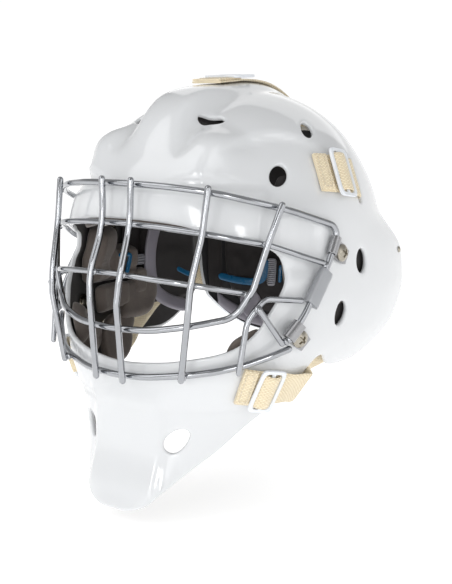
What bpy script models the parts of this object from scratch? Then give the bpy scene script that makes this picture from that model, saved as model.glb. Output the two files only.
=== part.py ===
"""Goalie mask: a one-piece shell with a wire cage, padding, chin cup and a strapped back plate.

Frame: metres, +Z up, the mask faces -Y and the wearer's left is +X. The origin is the middle of the
head space, level with the ear holes. The tables below are in millimetres and are scaled once, when a
mesh is made.
"""

import math

import bmesh
import bpy
import numpy as np
from mathutils import Matrix, Vector
from mathutils.geometry import delaunay_2d_cdt

MM = 0.001

# ---- driving dimensions, millimetres ---------------------------------------------------------
SHELL_WALL = 3.6
CROWN_TOP = 105.0          # top of the plain dome, before the crest is added
DOME_BASE = 10.0           # height where the dome meets the side walls
WALL_PER_RADIAN = 100.0    # wall height covered by one radian of the shell's chart
SHELL_STEP = 9.0          # mesh spacing
CLEAR = 0.35               # gap kept between pieces that touch on the real mask

# Horizontal sections of the shell: height, half width, front, widest point, squareness
SECTIONS = (
    (110, 105, -126, -12, 2.0),
    (80, 104, -127, -17.5, 1.95),
    (60, 103, -129, -22, 1.95),
    (45, 103, -127.5, -26, 2.0),
    (10, 104, -124.5, -35, 2.2),
    (-30, 105, -132, -35, 2.4),
    (-55, 102, -134, -38, 2.3),
    (-75, 94, -133, -48, 2.2),
    (-100, 76, -131, -66, 2.1),
    (-125, 61, -131, -84, 2.2),
    (-150, 52, -138, -92, 2.4),
    (-172, 50, -148, -95, 2.5),
)
# Where the sections would close at the back; the ear flaps flare out below the dome
REAR = ((110, 100), (60, 95), (22, 95), (-6, 140), (-75, 150), (-172, 20))

# Face opening, one half: angle from the front in degrees, height
FACE_OPENING = (
    (0, 23), (21, 21.5), (34, 17.5), (47, 12), (56, 8), (61.5, 3.5), (64, -6), (63.5, -16),
    (61, -25), (57.5, -35), (54.5, -45), (50, -54), (43, -61), (31, -66), (18, -69.5), (0, -71),
)
# Lower and rear edge, one half, from the chin to the crown's back: angle, height
OUTER_EDGE = (
    (0, -164), (12, -164), (28, -160), (42, -149), (60, -135), (72, -124), (80, -108), (85, -99),
    (84.5, -90), (83.5, -78), (84.5, -68.5), (89, -67), (95, -72), (102, -77), (115, -79),
    (124, -78), (131, -68), (134.5, -52), (137, -30), (137.5, -10), (135.5, 1), (134, 9), (134, 22),
    (136, 45), (143, 66),
    (158, 80), (180, 84),
)
# Vent holes: angle, height, half width along the angle and half height in mm, tilt in degrees
VENTS = (
    (26.5, 84.5, 10.0, 6.6, -12),
    (82.0, 78.0, 6.4, 9.6, -28),
    (60.5, 52.0, 8.0, 9.8, -10),
    (104.0, -9.0, 8.0, 9.6, 6),
    (91.0, -41.0, 8.0, 9.6, 8),
    (41.5, -119.5, 9.0, 10.5, 12),
)
SCREW_HOLE_R = 2.9
SLOT_HALF = (3.6, 17.5)    # strap slot in the temple, half width and half height

WIRE_R = 2.15              # uprights and frame wire
BAR_R = 1.9                # horizontal bars
CAGE_SIDES = 2             # bevel resolution of the wires

# Cage: points of one half of each wire, wearer's left, from the middle or the top outwards
TOP_BAR = (
    (0, -130.6, 45), (34, -127.8, 44.2), (64, -117, 41), (84, -100, 35), (95, -81, 29.5),
    (107.2, -42.5, 16.5), (107.6, -55, -5), (106, -78, -34), (101.6, -89.5, -50),
)
TOP_BAR_BENDS = (60, 60, 60, 60, 60, 7, 40, 40)
SECOND_BAR = ((0, -130.8, 19.5), (34, -129, 18.5), (62, -121.6, 16), (76, -110.5, 12.6), (89, -94.5, 8.6),
              (100, -77, 1.5), (106.8, -60.3, -4.6))
THIRD_BAR = ((0, -142.8, -11), (30, -140.5, -12.2), (60, -130.5, -15), (80, -103.5, -21.5))
EYE_WIRE = (
    (0, -142.2, -46.5), (30, -139.7, -45.5), (56, -128.6, -41), (76, -112, -36),
    (86, -106, -18), (91.4, -99.4, 8.4), (97, -91.5, 33.5),
)
EYE_WIRE_BENDS = (60, 60, 18, 12, 60, 60)
BOTTOM_BAR = ((0, -140, -77), (24, -138.5, -76.3), (51, -128.5, -73), (67, -119, -70), (81, -107, -66),
              (93, -96.5, -60.5), (100.5, -88, -56.2))
CENTRE_UPRIGHT = ((12.4, -135.4, 47.5), (11.6, -135.6, 19), (13, -147.3, -11), (11.4, -149, -29.5),
                  (11.6, -144.7, -79))
OUTER_UPRIGHT = ((63.7, -122.3, 44), (62.6, -126.6, 16), (60, -135.2, -15), (59.2, -136.4, -31),
                 (51.2, -134.0, -75))
SIDE_WIRE = ((103.6, -79.5, -26.5), (90.5, -100, -24), (84, -109.5, -37), (81.8, -115.0, -69.5))
DIAGONAL = ((91.6, -107, -30), (99, -93.5, -52))


def smooth(x, a, b):
    t = np.clip((x - a) / (b - a), 0.0, 1.0)
    return t * t * (3.0 - 2.0 * t)


def graded(x, knots, values):
    """A monotone cubic through a table: no overshoot between its rows."""
    order = np.argsort(knots)
    knots = np.asarray(knots, float)[order]
    values = np.asarray(values, float)[order]
    step = np.diff(knots)
    slope = np.diff(values) / step
    tangent = np.empty(len(knots))
    tangent[0] = slope[0]
    tangent[-1] = slope[-1]
    same_way = slope[:-1] * slope[1:] > 0
    total = np.where(same_way, slope[:-1] + slope[1:], 1.0)
    tangent[1:-1] = np.where(same_way, 2.0 * slope[:-1] * slope[1:] / total, 0.0)
    x = np.clip(x, knots[0], knots[-1])
    i = np.clip(np.searchsorted(knots, x) - 1, 0, len(step) - 1)
    t = (x - knots[i]) / step[i]
    return (
        (2 * t**3 - 3 * t**2 + 1) * values[i] + (t**3 - 2 * t**2 + t) * step[i] * tangent[i]
        + (3 * t**2 - 2 * t**3) * values[i + 1] + (t**3 - t**2) * step[i] * tangent[i + 1]
    )


def section(z):
    heights = [row[0] for row in SECTIONS]
    width, front, middle, square = (
        graded(z, heights, [row[k] for row in SECTIONS]) for k in (1, 2, 3, 4)
    )
    rear = graded(z, [row[0] for row in REAR], [row[1] for row in REAR])
    return width, front, middle, square, rear


def plain(r, phi):
    """The shell without relief. r is the way down from the crown, phi the angle from the front."""
    dome = np.minimum(r, math.pi / 2)
    spread = np.sin(dome)
    rise = np.cos(dome)
    z = np.where(r < math.pi / 2, DOME_BASE + (CROWN_TOP - DOME_BASE) * rise,
                 DOME_BASE - (r - math.pi / 2) * WALL_PER_RADIAN)
    width, front, middle, square, rear = section(z)
    along = np.cos(phi)
    depth = np.where(along > 0, middle - front, rear - middle)
    across = np.abs(np.sin(phi) / width) ** square + np.abs(along / depth) ** square
    reach = spread * across ** (-1.0 / square)
    return np.stack([reach * np.sin(phi), middle - reach * along, z], -1)


def relief(point, phi):
    """How far the moulded shapes stand proud of the plain shell."""
    x = np.abs(point[..., 0])
    y = point[..., 1]
    z = point[..., 2]
    turn = np.degrees(np.abs(phi))
    crest = 10.5 * (1 - smooth(x, 11, 25)) * smooth(z, 60, 92)
    crest = crest * (1 - 0.6 * smooth(y, -80, -25)) * (1 - smooth(y, 5, 60))
    lobe = 9.0 * np.exp(-(((x - 46) / 17) ** 2)) * smooth(-y, 70, 98)
    lobe = lobe * (0.6 * smooth(z, 43, 50) + 0.4 * smooth(z, 50, 68)) * (1 - smooth(z, 71, 89))
    valley = -1.6 * np.exp(-(((x - 27) / 5) ** 2)) * smooth(z, 58, 68) * smooth(-y, 20, 70)
    oval = np.sqrt(((turn - 60) / 31) ** 2 + ((z - 52) / 25) ** 2)
    temple = -3.8 * (1 - smooth(oval, 0.84, 1.0)) * (1 - smooth(turn, 62, 92)) * smooth(z, 26, 44)
    brow = 2.8 * (smooth(z, 6, 12) - smooth(z, 40, 45)) * (1 - smooth(turn, 53.5, 57.5))
    side_top = 61 - 0.5 * turn
    side = -2.4 * smooth(turn, 58, 62) * (1 - smooth(turn, 76, 80))
    side = side * (1 - smooth(z, side_top - 3, side_top + 2)) * smooth(z, -16, -6)
    jaw = 1.6 * smooth(z, -101, -93) * (1 - smooth(z, -76, -70)) * (1 - smooth(turn, 74, 84))
    plateau = 2.2 * (1 - smooth(x, 25, 33)) * smooth(-z, 84, 94) * (1 - smooth(-z, 150, 164))
    return crest + lobe + valley + temple + brow + side + jaw + plateau


def shell_frame(r, phi, inward=0.0):
    """Points of the shell, and the outward normals there, as two arrays."""
    nudge = 1e-3

    def raised(r, phi):
        point = plain(r, phi)
        a = plain(r, phi + nudge) - plain(r, phi - nudge)
        b = plain(r + nudge, phi) - plain(r - nudge, phi)
        normal = np.cross(a, b)
        normal /= np.maximum(np.linalg.norm(normal, axis=-1, keepdims=True), 1e-12)
        return point - normal * relief(point, phi)[..., None]

    r = np.maximum(np.asarray(r, float), 0.02)
    phi = np.asarray(phi, float)
    point = raised(r, phi)
    a = raised(r, phi + nudge) - raised(r, phi - nudge)
    b = raised(r + nudge, phi) - raised(r - nudge, phi)
    normal = np.cross(b, a)
    normal /= np.maximum(np.linalg.norm(normal, axis=-1, keepdims=True), 1e-12)
    return point - normal * inward, normal


def chart_radius(z):
    """The r of a height on the walls or the dome."""
    z = np.asarray(z, float)
    high = np.arccos(np.clip((z - DOME_BASE) / (CROWN_TOP - DOME_BASE), 0.0, 1.0))
    return np.where(z > DOME_BASE, high, math.pi / 2 + (DOME_BASE - z) / WALL_PER_RADIAN)


def on_shell(turn, z, inward=0.0):
    """The shell's point and normal at an angle from the front in degrees and a height."""
    return shell_frame(chart_radius(z), np.radians(turn), inward)


def on_plain(turn, z, inward=0.0):
    """The same on the shell without relief, for pads that bridge its moulded shapes."""
    r, phi = np.broadcast_arrays(chart_radius(z), np.radians(turn))
    nudge = 1e-3
    a = plain(r, phi + nudge) - plain(r, phi - nudge)
    b = plain(r + nudge, phi) - plain(r - nudge, phi)
    normal = np.cross(b, a)
    normal /= np.linalg.norm(normal, axis=-1, keepdims=True)
    return plain(r, phi) - normal * inward, normal


def flat(r, phi):
    return np.stack([r * np.sin(phi), -r * np.cos(phi)], -1)


def both_halves(half):
    """A closed loop of (angle, height) from one half whose ends are on the middle plane."""
    return [tuple(p) for p in half] + [(-a, z) for a, z in reversed(half[1:-1])]


def rounded_loop(points, step):
    """A closed Catmull-Rom curve through (angle, height) points, as chart points."""
    points = np.asarray(points, float)
    near = [np.roll(points, k, axis=0) for k in (1, 0, -1, -2)]
    out = []
    for a, b, c, d in zip(*near):
        a, c, d = (np.array([q[0] + 360 * round((b[0] - q[0]) / 360), q[1]]) for q in (a, c, d))
        count = max(1, round(math.hypot((c[0] - b[0]) * 1.75, c[1] - b[1]) / step))
        for t in np.arange(count) / count:
            out.append(0.5 * (2 * b + (c - a) * t + (2 * a - 5 * b + 4 * c - d) * t**2
                              + (3 * b - a - 3 * c + d) * t**3))
    out = np.array(out)
    return flat(chart_radius(out[:, 1]), np.radians(out[:, 0]))


def local_loop(turn, z, outline):
    """Chart points of an outline drawn in mm on the shell's tangent plane."""
    r = float(chart_radius(z))
    phi = math.radians(turn)
    nudge = 1e-3
    along = np.linalg.norm(plain(r, phi + nudge) - plain(r, phi - nudge)) / (2 * nudge)
    down = np.linalg.norm(plain(r + nudge, phi) - plain(r - nudge, phi)) / (2 * nudge)
    outline = np.asarray(outline, float)
    return flat(r - outline[:, 1] / down, phi + outline[:, 0] / along)


def oval_outline(half_wide, half_high, tilt, count):
    t = np.arange(count) * 2 * math.pi / count
    c, s = math.cos(math.radians(tilt)), math.sin(math.radians(tilt))
    x, y = half_wide * np.cos(t), half_high * np.sin(t)
    return np.stack([x * c - y * s, x * s + y * c], -1)


def slot_outline(half_wide, half_high, tilt=0.0, each=5, between=4):
    """A slot with round ends, and points along its straight sides."""
    points = []
    straight = half_high - half_wide
    for side in (1, -1):
        for k in range(1, between):
            points.append((side * half_wide, side * straight * (2 * k / between - 1)))
        for k in range(each):
            t = math.pi * k / (each - 1)
            points.append((side * half_wide * math.cos(t), side * (straight + half_wide * math.sin(t))))
    c, s = math.cos(math.radians(tilt)), math.sin(math.radians(tilt))
    return np.array([(x * c - y * s, x * s + y * c) for x, y in points])


def inside(points, loop):
    """Which points lie in a closed loop, by crossing count."""
    a = loop
    b = np.roll(loop, -1, axis=0)
    x, y = points[:, 0:1], points[:, 1:2]
    spans = (a[:, 1] > y) != (b[:, 1] > y)
    rise = np.where(b[:, 1] == a[:, 1], 1.0, b[:, 1] - a[:, 1])
    crossing = a[:, 0] + (y - a[:, 1]) * (b[:, 0] - a[:, 0]) / rise
    return ((spans & (x < crossing)).sum(axis=1) % 2) == 1


def trimmed_sheet(outer, holes, step, keep_away=0.45):
    """Chart points, triangles and loops of the sheet inside outer and outside the holes."""
    deepest = np.linalg.norm(outer, axis=1).max()
    rings = []
    for k, r in enumerate(np.arange(0.06, deepest, step / WALL_PER_RADIAN)):
        reach = 2 * math.pi * WALL_PER_RADIAN * min(math.sin(min(r, math.pi / 2)) + 0.03, 1.0)
        count = max(6, round(reach / step))
        phi = (np.arange(count) + 0.5 * (k % 2)) * 2 * math.pi / count
        rings.append(flat(np.full(count, r), phi))
    field = np.concatenate(rings)
    loops = [outer] + holes
    wanted = inside(field, outer)
    for hole in holes:
        wanted &= ~inside(field, hole)
    edge = np.concatenate(loops)
    r = np.linalg.norm(field, axis=1)
    stretch = np.maximum(r, 1.0)
    for k in np.nonzero(wanted)[0]:
        gap = np.min(np.linalg.norm(edge - field[k], axis=1))
        wanted[k] = gap * WALL_PER_RADIAN / stretch[k] ** 0.5 > keep_away * step
    field = field[wanted]
    edges = []
    start = 0
    for loop in loops:
        n = len(loop)
        edges += [(start + i, start + (i + 1) % n) for i in range(n)]
        start += n
    points = np.concatenate([edge, field])
    made = delaunay_2d_cdt([Vector(p) for p in points], edges, [], 0, 1e-7)
    points = np.array([tuple(v) for v in made[0]])
    faces = np.array([tuple(f) for f in made[2]])
    middle = points[faces].mean(axis=1)
    keep = inside(middle, outer)
    for hole in holes:
        keep &= ~inside(middle, hole)
    return points, faces[keep]


def thick_sheet(points, faces, wall, start=0.0):
    """A closed mesh: the sheet at depth start, the sheet at start + wall, and their rims."""
    r = np.linalg.norm(points, axis=1)
    phi = np.arctan2(points[:, 0], -points[:, 1])
    skin, normal = shell_frame(r, phi)
    outer = skin - normal * start
    inner = skin - normal * (start + wall)
    sample = outer[faces[:, 0]]
    turned = np.cross(outer[faces[:, 1]] - sample, outer[faces[:, 2]] - sample)
    flip = (turned * normal[faces[:, 0]]).sum(axis=1) < 0
    faces = np.where(flip[:, None], faces[:, ::-1], faces)
    used = np.unique(faces)
    index = -np.ones(len(points), int)
    index[used] = np.arange(len(used))
    faces = index[faces]
    n = len(used)
    directed = {(a, b) for f in faces.tolist() for a, b in zip(f, f[1:] + f[:1])}
    rim = [(a, b) for a, b in directed if (b, a) not in directed]
    rim.sort()
    solid = faces.tolist() + [[a + n, c + n, b + n] for a, b, c in faces.tolist()]
    for a, b in rim:
        solid.append([b, a, a + n])
        solid.append([b, a + n, b + n])
    return np.concatenate([outer[used], inner[used]]), solid


# ---- objects ------------------------------------------------------------------------------------
def clear_scene():
    for item in list(bpy.data.objects):
        bpy.data.objects.remove(item, do_unlink=True)


def material(name, colour, rough, metal=0.0):
    made = bpy.data.materials.new(name)
    made.use_nodes = True
    shader = made.node_tree.nodes["Principled BSDF"]
    shader.inputs["Base Color"].default_value = (*colour, 1.0)
    shader.inputs["Roughness"].default_value = rough
    shader.inputs["Metallic"].default_value = metal
    return made


def node(name, mesh, finish):
    made = bpy.data.objects.new(name, mesh)
    bpy.context.collection.objects.link(made)
    if finish is not None:
        mesh.materials.append(finish)
    return made


def solid_node(name, points, faces, finish):
    """A node from points in mm; its faces are turned outwards."""
    mesh = bpy.data.meshes.new(name)
    build = bmesh.new()
    made = [build.verts.new(Vector(p) * MM) for p in points]
    for face in faces:
        build.faces.new([made[i] for i in face])
    bmesh.ops.recalc_face_normals(build, faces=build.faces)
    if build.calc_volume(signed=True) < 0:
        bmesh.ops.reverse_faces(build, faces=build.faces)
    build.to_mesh(mesh)
    build.free()
    mesh.shade_smooth()
    mesh.set_sharp_from_angle(angle=math.radians(35))
    return node(name, mesh, finish)


def mirrored(points):
    return [(-x, y, z) for x, y, z in points]


def filleted(points, bends, step=9.0):
    """A polyline whose inner corners are rounded to the given radii, in mm."""
    points = [Vector(p) for p in points]
    out = [points[0]]
    for k in range(1, len(points) - 1):
        corner = points[k]
        back = points[k - 1] - corner
        on = points[k + 1] - corner
        angle = back.angle(on)
        if angle > math.radians(179.5):
            continue
        reach = bends[k - 1] / math.tan(angle / 2)
        reach = min(reach, 0.48 * back.length, 0.48 * on.length)
        radius = reach * math.tan(angle / 2)
        middle = corner + (back.normalized() + on.normalized()).normalized() * math.hypot(reach, radius)
        first = corner + back.normalized() * reach - middle
        last = corner + on.normalized() * reach - middle
        sweep = math.pi - angle
        count = max(2, math.ceil(max(radius * sweep / step, sweep / 0.5)))
        for i in range(count + 1):
            t = i / count
            blend = first * math.sin((1 - t) * sweep) + last * math.sin(t * sweep)
            out.append(middle + blend / math.sin(sweep))
    out.append(points[-1])
    return out


def wire(name, points, radius, finish, bends=None):
    """A bent round wire with flat ends."""
    route = filleted(points, bends or [60] * (len(points) - 2))
    curve = bpy.data.curves.new(name, "CURVE")
    curve.dimensions = "3D"
    curve.bevel_depth = radius * MM
    curve.bevel_resolution = CAGE_SIDES
    curve.use_fill_caps = True
    spline = curve.splines.new("POLY")
    spline.points.add(len(route) - 1)
    for made, point in zip(spline.points, route):
        made.co = (*(point * MM), 1.0)
    return node(name, curve, finish)


def whole(half):
    """Both halves of a bar whose first point is on the middle plane."""
    return mirrored(reversed(half[1:])) + list(half)


def whole_bends(bends, middle=60):
    return list(reversed(bends)) + [middle] + list(bends)


def axes_at(normal, along):
    """A turn whose Z is the normal and whose X is nearest to along."""
    z = Vector(normal).normalized()
    x = Vector(along)
    x = (x - z * x.dot(z)).normalized()
    y = z.cross(x)
    return Matrix((x, y, z)).transposed()


def cut(target, cutter):
    cutter.hide_render = True
    cutter.display_type = "WIRE"
    tool = target.modifiers.new(cutter.name, "BOOLEAN")
    tool.operation = "DIFFERENCE"
    tool.solver = "EXACT"
    tool.object = cutter


def turned_points(profile, count):
    """Points and faces of a profile of (radius, height) turned about Z, closed on the axis."""
    points = []
    rings = []
    for radius, height in profile:
        if radius == 0:
            rings.append([len(points)])
            points.append((0.0, 0.0, height))
            continue
        rings.append(list(range(len(points), len(points) + count)))
        for k in range(count):
            t = 2 * math.pi * k / count
            points.append((radius * math.cos(t), radius * math.sin(t), height))
    faces = []
    for low, high in zip(rings, rings[1:]):
        for k in range(count):
            a, b = low[k % len(low)], low[(k + 1) % len(low)]
            c, d = high[(k + 1) % len(high)], high[k % len(high)]
            faces.append([i for n, i in enumerate((a, b, c, d)) if i not in (a, b, c, d)[:n]])
    if rings[0] != [0] and profile[0] != profile[-1]:
        faces.append(rings[0])
        faces.append(rings[-1])
    return points, faces


def placed(points, matrix, origin):
    return [tuple(matrix @ Vector(p) + Vector(origin)) for p in points]


def ring_profile(profile, count):
    """Points and faces of a closed profile turned about Z, which leaves a hole in the middle."""
    points = []
    for radius, height in profile:
        for k in range(count):
            t = 2 * math.pi * k / count
            points.append((radius * math.cos(t), radius * math.sin(t), height))
    n = len(profile)
    faces = []
    for i in range(n):
        for k in range(count):
            j = (k + 1) % count
            faces.append([i * count + k, i * count + j, (i + 1) % n * count + j, (i + 1) % n * count + k])
    return points, faces


def prism(outline, depth, taper=1.0):
    """Points and faces of a flat outline raised along Z by depth."""
    n = len(outline)
    points = [(x, y, 0.0) for x, y in outline] + [(x * taper, y * taper, depth) for x, y in outline]
    faces = [[i, (i + 1) % n, n + (i + 1) % n, n + i] for i in range(n)]
    return points, faces + [list(range(n)), list(range(n, 2 * n))]


def strip(name, centres, widths, normals, wall, finish):
    """Flat webbing: a closed strip along centres, as wide as each half-width vector."""
    points = []
    for centre, across, up in zip(centres, widths, normals):
        for side, level in ((-1, 0), (1, 0), (1, 1), (-1, 1)):
            points.append(tuple(Vector(centre) + Vector(across) * side + Vector(up) * wall * level))
    faces = [[0, 1, 2, 3]]
    for k in range(len(centres) - 1):
        for i in range(4):
            j = (i + 1) % 4
            faces.append([4 * k + i, 4 * k + j, 4 * k + 4 + j, 4 * k + 4 + i])
    last = 4 * (len(centres) - 1)
    faces.append([last, last + 1, last + 2, last + 3])
    return solid_node(name, points, faces, finish)


def patch_pad(name, turns, heights, start, wall, finish, count=(6, 6), crown=0.75, surface=on_shell):
    """A pad against the inside of a surface, over a range of angles and between two height lines."""
    low, high = heights
    u = np.linspace(-1, 1, count[0])[:, None] + np.zeros((1, count[1]))
    v = np.linspace(-1, 1, count[1])[None, :] + np.zeros((count[0], 1))

    def spread(shrink):
        turn = (turns[0] + turns[1]) / 2 + (turns[1] - turns[0]) / 2 * u * shrink
        bottom = low(turn) if callable(low) else low
        top = high(turn) if callable(high) else high
        return turn, (bottom + top) / 2 + (top - bottom) / 2 * v * shrink

    near, _ = surface(*spread(1.0), start)
    swell = crown + (1 - crown) * (1 - u**4) * (1 - v**4)
    base, normal = surface(*spread(0.95), start)
    far = base - normal * (wall * swell)[..., None]
    points = np.concatenate([near.reshape(-1, 3), far.reshape(-1, 3)])
    rows, cols = count
    n = rows * cols
    faces = []
    for i in range(rows - 1):
        for j in range(cols - 1):
            quad = [i * cols + j, (i + 1) * cols + j, (i + 1) * cols + j + 1, i * cols + j + 1]
            faces += [quad, [n + q for q in reversed(quad)]]
    loop = [i * cols for i in range(rows)] + [(rows - 1) * cols + j for j in range(1, cols)]
    loop += [i * cols + cols - 1 for i in range(rows - 2, -1, -1)] + list(range(cols - 2, 0, -1))
    for p, q in zip(loop, loop[1:] + loop[:1]):
        faces.append([p, q, n + q, n + p])
    return solid_node(name, points.tolist(), faces, finish)


# ---- pieces ---------------------------------------------------------------------------------------
SCREWS = {"upper": (87.8, -0.5), "lower": (69.0, -51.5)}     # angle, height
SCREW_HEAD_R = 5.6
SCREW_SHANK_R = 2.4
CLIP_WALL = 1.0
CLIP_WIDTH = 12.0
CLIP_PLAY = {"upper": 0.35, "lower": 1.5}                   # round the wire
CLIP_LIFT = 0.55           # gap under a clip, on the shell's slight curve
TEMPLE_SLOT = (104.5, 44.0, 8)                               # angle, height, tilt
WEBBING = 1.5
WEB_LIFT = 0.6
PAD_START = SHELL_WALL + 1.5
BROW_WALL = 11.0
PLATE_WALL = 3.0
PLATE_EDGE = 68.0          # half angle of the back plate
PLATE_TOP = 76.0
PLATE_BOTTOM = -88.0
PLATE_CENTRE_Y = 10.0
CROWN_HINGE = (0.0, 57.5, 86.5)
CHIN_HINGE = (0.0, -98.0, -84.0)
SIDES = (("left", 1), ("right", -1))                         # the wearer's left is +X


def shell(finish):
    outer = rounded_loop(both_halves(OUTER_EDGE), SHELL_STEP)
    holes = [rounded_loop(both_halves(FACE_OPENING), SHELL_STEP)]
    for _, side in SIDES:
        for turn, z, half_wide, half_high, tilt in VENTS:
            holes.append(local_loop(side * turn, z,
                                    oval_outline(half_wide, half_high, side * tilt, 14)))
        for turn, z in SCREWS.values():
            holes.append(local_loop(side * turn, z, oval_outline(SCREW_HOLE_R, SCREW_HOLE_R, 0, 8)))
        turn, z, tilt = TEMPLE_SLOT
        holes.append(local_loop(side * turn, z, slot_outline(*SLOT_HALF, side * tilt)))
    points, faces = trimmed_sheet(outer, holes, SHELL_STEP)
    return solid_node("shell", *thick_sheet(points, faces, SHELL_WALL), finish)


def cage(finish):
    wire("cage_top_bar", whole(TOP_BAR), WIRE_R, finish, whole_bends(TOP_BAR_BENDS[1:]))
    wire("cage_second_bar", whole(SECOND_BAR), BAR_R, finish)
    wire("cage_third_bar", whole(THIRD_BAR), BAR_R, finish)
    wire("cage_eye_wire", whole(EYE_WIRE), WIRE_R, finish, whole_bends(EYE_WIRE_BENDS[:-1]))
    wire("cage_bottom_bar", whole(BOTTOM_BAR), WIRE_R, finish)
    for name, side in SIDES:
        turn = mirrored if side < 0 else list
        wire(f"cage_centre_upright_{name}", turn(CENTRE_UPRIGHT), WIRE_R, finish)
        wire(f"cage_outer_upright_{name}", turn(OUTER_UPRIGHT), WIRE_R, finish)
        wire(f"cage_side_wire_{name}", turn(SIDE_WIRE), BAR_R, finish, [7, 20])
        wire(f"cage_diagonal_{name}", turn(DIAGONAL), BAR_R, finish)


def nearest_on_wire(points, bends, target):
    """The nearest point of a wire's middle line, and its direction there."""
    route = filleted(points, bends, 1.0)
    best = None
    for a, b in zip(route, route[1:]):
        t = min(1.0, max(0.0, (target - a).dot(b - a) / (b - a).length_squared))
        point = a.lerp(b, t)
        gap = (point - target).length
        if best is None or gap < best[0]:
            best = (gap, point, (b - a).normalized())
    return best[1], best[2]


def band(line, wall):
    """The closed outline of a flat strap bent along a line in its own plane."""
    line = [Vector(p) for p in line]
    left, right = [], []
    for k, p in enumerate(line):
        along = (line[min(k + 1, len(line) - 1)] - line[max(k - 1, 0)]).normalized()
        across = Vector((-along.y, along.x)) * wall / 2
        left.append(p + across)
        right.append(p - across)
    return [tuple(p) for p in left + right[::-1]]


def fixings(steel, nickel, zinc):
    """Clip, screw and T-nut at each of the four fixing points."""
    half_line = list(TOP_BAR)
    bends = list(TOP_BAR_BENDS[1:])
    for name, side in SIDES:
        for level, (turn, z) in SCREWS.items():
            seat, normal = on_shell(turn, z)
            seat, normal = Vector(seat), Vector(normal)
            wire_point, along = nearest_on_wire(half_line, bends, seat)
            rear = seat - wire_point
            frame = axes_at(normal, rear)
            lift = (wire_point - seat).dot(frame.col[2])
            reach = -(wire_point - seat).dot(frame.col[0])
            hold = WIRE_R + CLIP_PLAY[level] + CLIP_WALL / 2
            low = CLIP_LIFT + CLIP_WALL / 2
            high = low + CLIP_WALL + 0.3
            loop = [(-reach + hold * math.cos(t), lift + hold * math.sin(t))
                    for t in np.radians(np.linspace(285, 62, 9))]
            line = [(6.5, low), (-reach + 5.5, low)] + loop + [(-reach + 5.2, high + 0.4), (-reach + 7.0, high),
                                                             (6.5, high)]
            outline = band(line, CLIP_WALL)
            points, faces = prism(outline, CLIP_WIDTH)
            points = [(x, z - CLIP_WIDTH / 2, y) for x, y, z in points]
            flip = Matrix.Diagonal((side, 1, 1))
            clip = solid_node(f"cage_clip_{level}_{name}",
                              [tuple(flip @ Vector(p)) for p in placed(points, frame, seat)], faces, steel)
            hole, hole_faces = turned_points([(SCREW_HOLE_R, -5), (SCREW_HOLE_R, 12)], 16)
            cut(clip, solid_node(f"cut_{level}_{name}",
                                 [tuple(flip @ Vector(p)) for p in placed(hole, frame, seat)],
                                 hole_faces, None))
            top = high + CLIP_WALL / 2 + CLEAR
            head = [(0, -9), (SCREW_SHANK_R, -9), (SCREW_SHANK_R, top), (SCREW_HEAD_R, top),
                    (SCREW_HEAD_R, top + 0.7), (4.7, top + 2.1), (2.9, top + 3.0), (0, top + 3.2)]
            points, faces = turned_points(head, 16)
            screw = solid_node(f"cage_screw_{level}_{name}",
                               [tuple(flip @ Vector(p)) for p in placed(points, frame, seat)], faces, nickel)
            slot, slot_faces = prism([(-3.2, -0.6), (3.2, -0.6), (3.2, 0.6), (-3.2, 0.6)], 4.0)
            slot = [(x, y, h + top + 1.9) for x, y, h in slot]
            cut(screw, solid_node(f"slot_{level}_{name}",
                                  [tuple(flip @ Vector(p)) for p in placed(slot, frame, seat)],
                                  slot_faces, None))
            flange = -(SHELL_WALL + 0.9)
            bore = SCREW_SHANK_R + 0.3
            nut = [(bore, flange), (7.5, flange), (7.5, flange - 1.4), (4.2, flange - 1.4),
                   (4.2, -9.5), (bore, -9.5)]
            points, faces = ring_profile(nut, 16)
            solid_node(f"cage_nut_{level}_{name}",
                       [tuple(flip @ Vector(p)) for p in placed(points, frame, seat)], faces, zinc)


def label_sleeves(finish):
    """A blank label sleeve round each side of the frame wire."""
    start, end = Vector(TOP_BAR[6]), Vector(TOP_BAR[7])
    along = (end - start).normalized()
    turn, z = 74.0, -18.0
    _, normal = on_shell(turn, z)
    frame = axes_at(along, normal)
    count = 16
    bore = WIRE_R + 0.35
    points = []
    for level in (5.5, 30.5):
        for k in range(count):
            t = 2 * math.pi * k / count
            points.append((-bore * math.sin(t), bore * math.cos(t), level))
        for k in range(count):
            t = 2 * math.pi * k / count
            wide = 5.8 * abs(math.cos(t)) ** 0.55 * (1 if math.cos(t) > 0 else -1)
            deep = 3.0 * abs(math.sin(t)) ** 0.55 * (1 if math.sin(t) > 0 else -1)
            points.append((-deep, wide - 1.5, level))
    faces = []
    for k in range(count):
        j = (k + 1) % count
        n = count
        faces += [[k, j, 2 * n + j, 2 * n + k], [n + k, n + j, 3 * n + j, 3 * n + k],
                  [k, j, n + j, n + k], [2 * n + k, 2 * n + j, 3 * n + j, 3 * n + k]]
    for name, side in SIDES:
        flip = Matrix.Diagonal((side, 1, 1))
        solid_node(f"label_sleeve_{name}", [tuple(flip @ Vector(p)) for p in placed(points, frame, start)],
                   faces, finish)


def opening_top(turn):
    rows = FACE_OPENING[:6]
    return graded(np.abs(turn), [r[0] for r in rows], [r[1] for r in rows])


def side_pad_high(turn):
    return graded(np.abs(turn), (67, 80.5, 83.5, 99), (8, 8, -10, -10))


def jaw_pad_high(turn):
    return graded(np.abs(turn), (40, 48, 55, 60, 80), (-58, -50, -45, -63, -66))


def jaw_pad_low(turn):
    return graded(np.abs(turn), (40, 59, 63, 80), (-73, -73, -88, -88))


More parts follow.
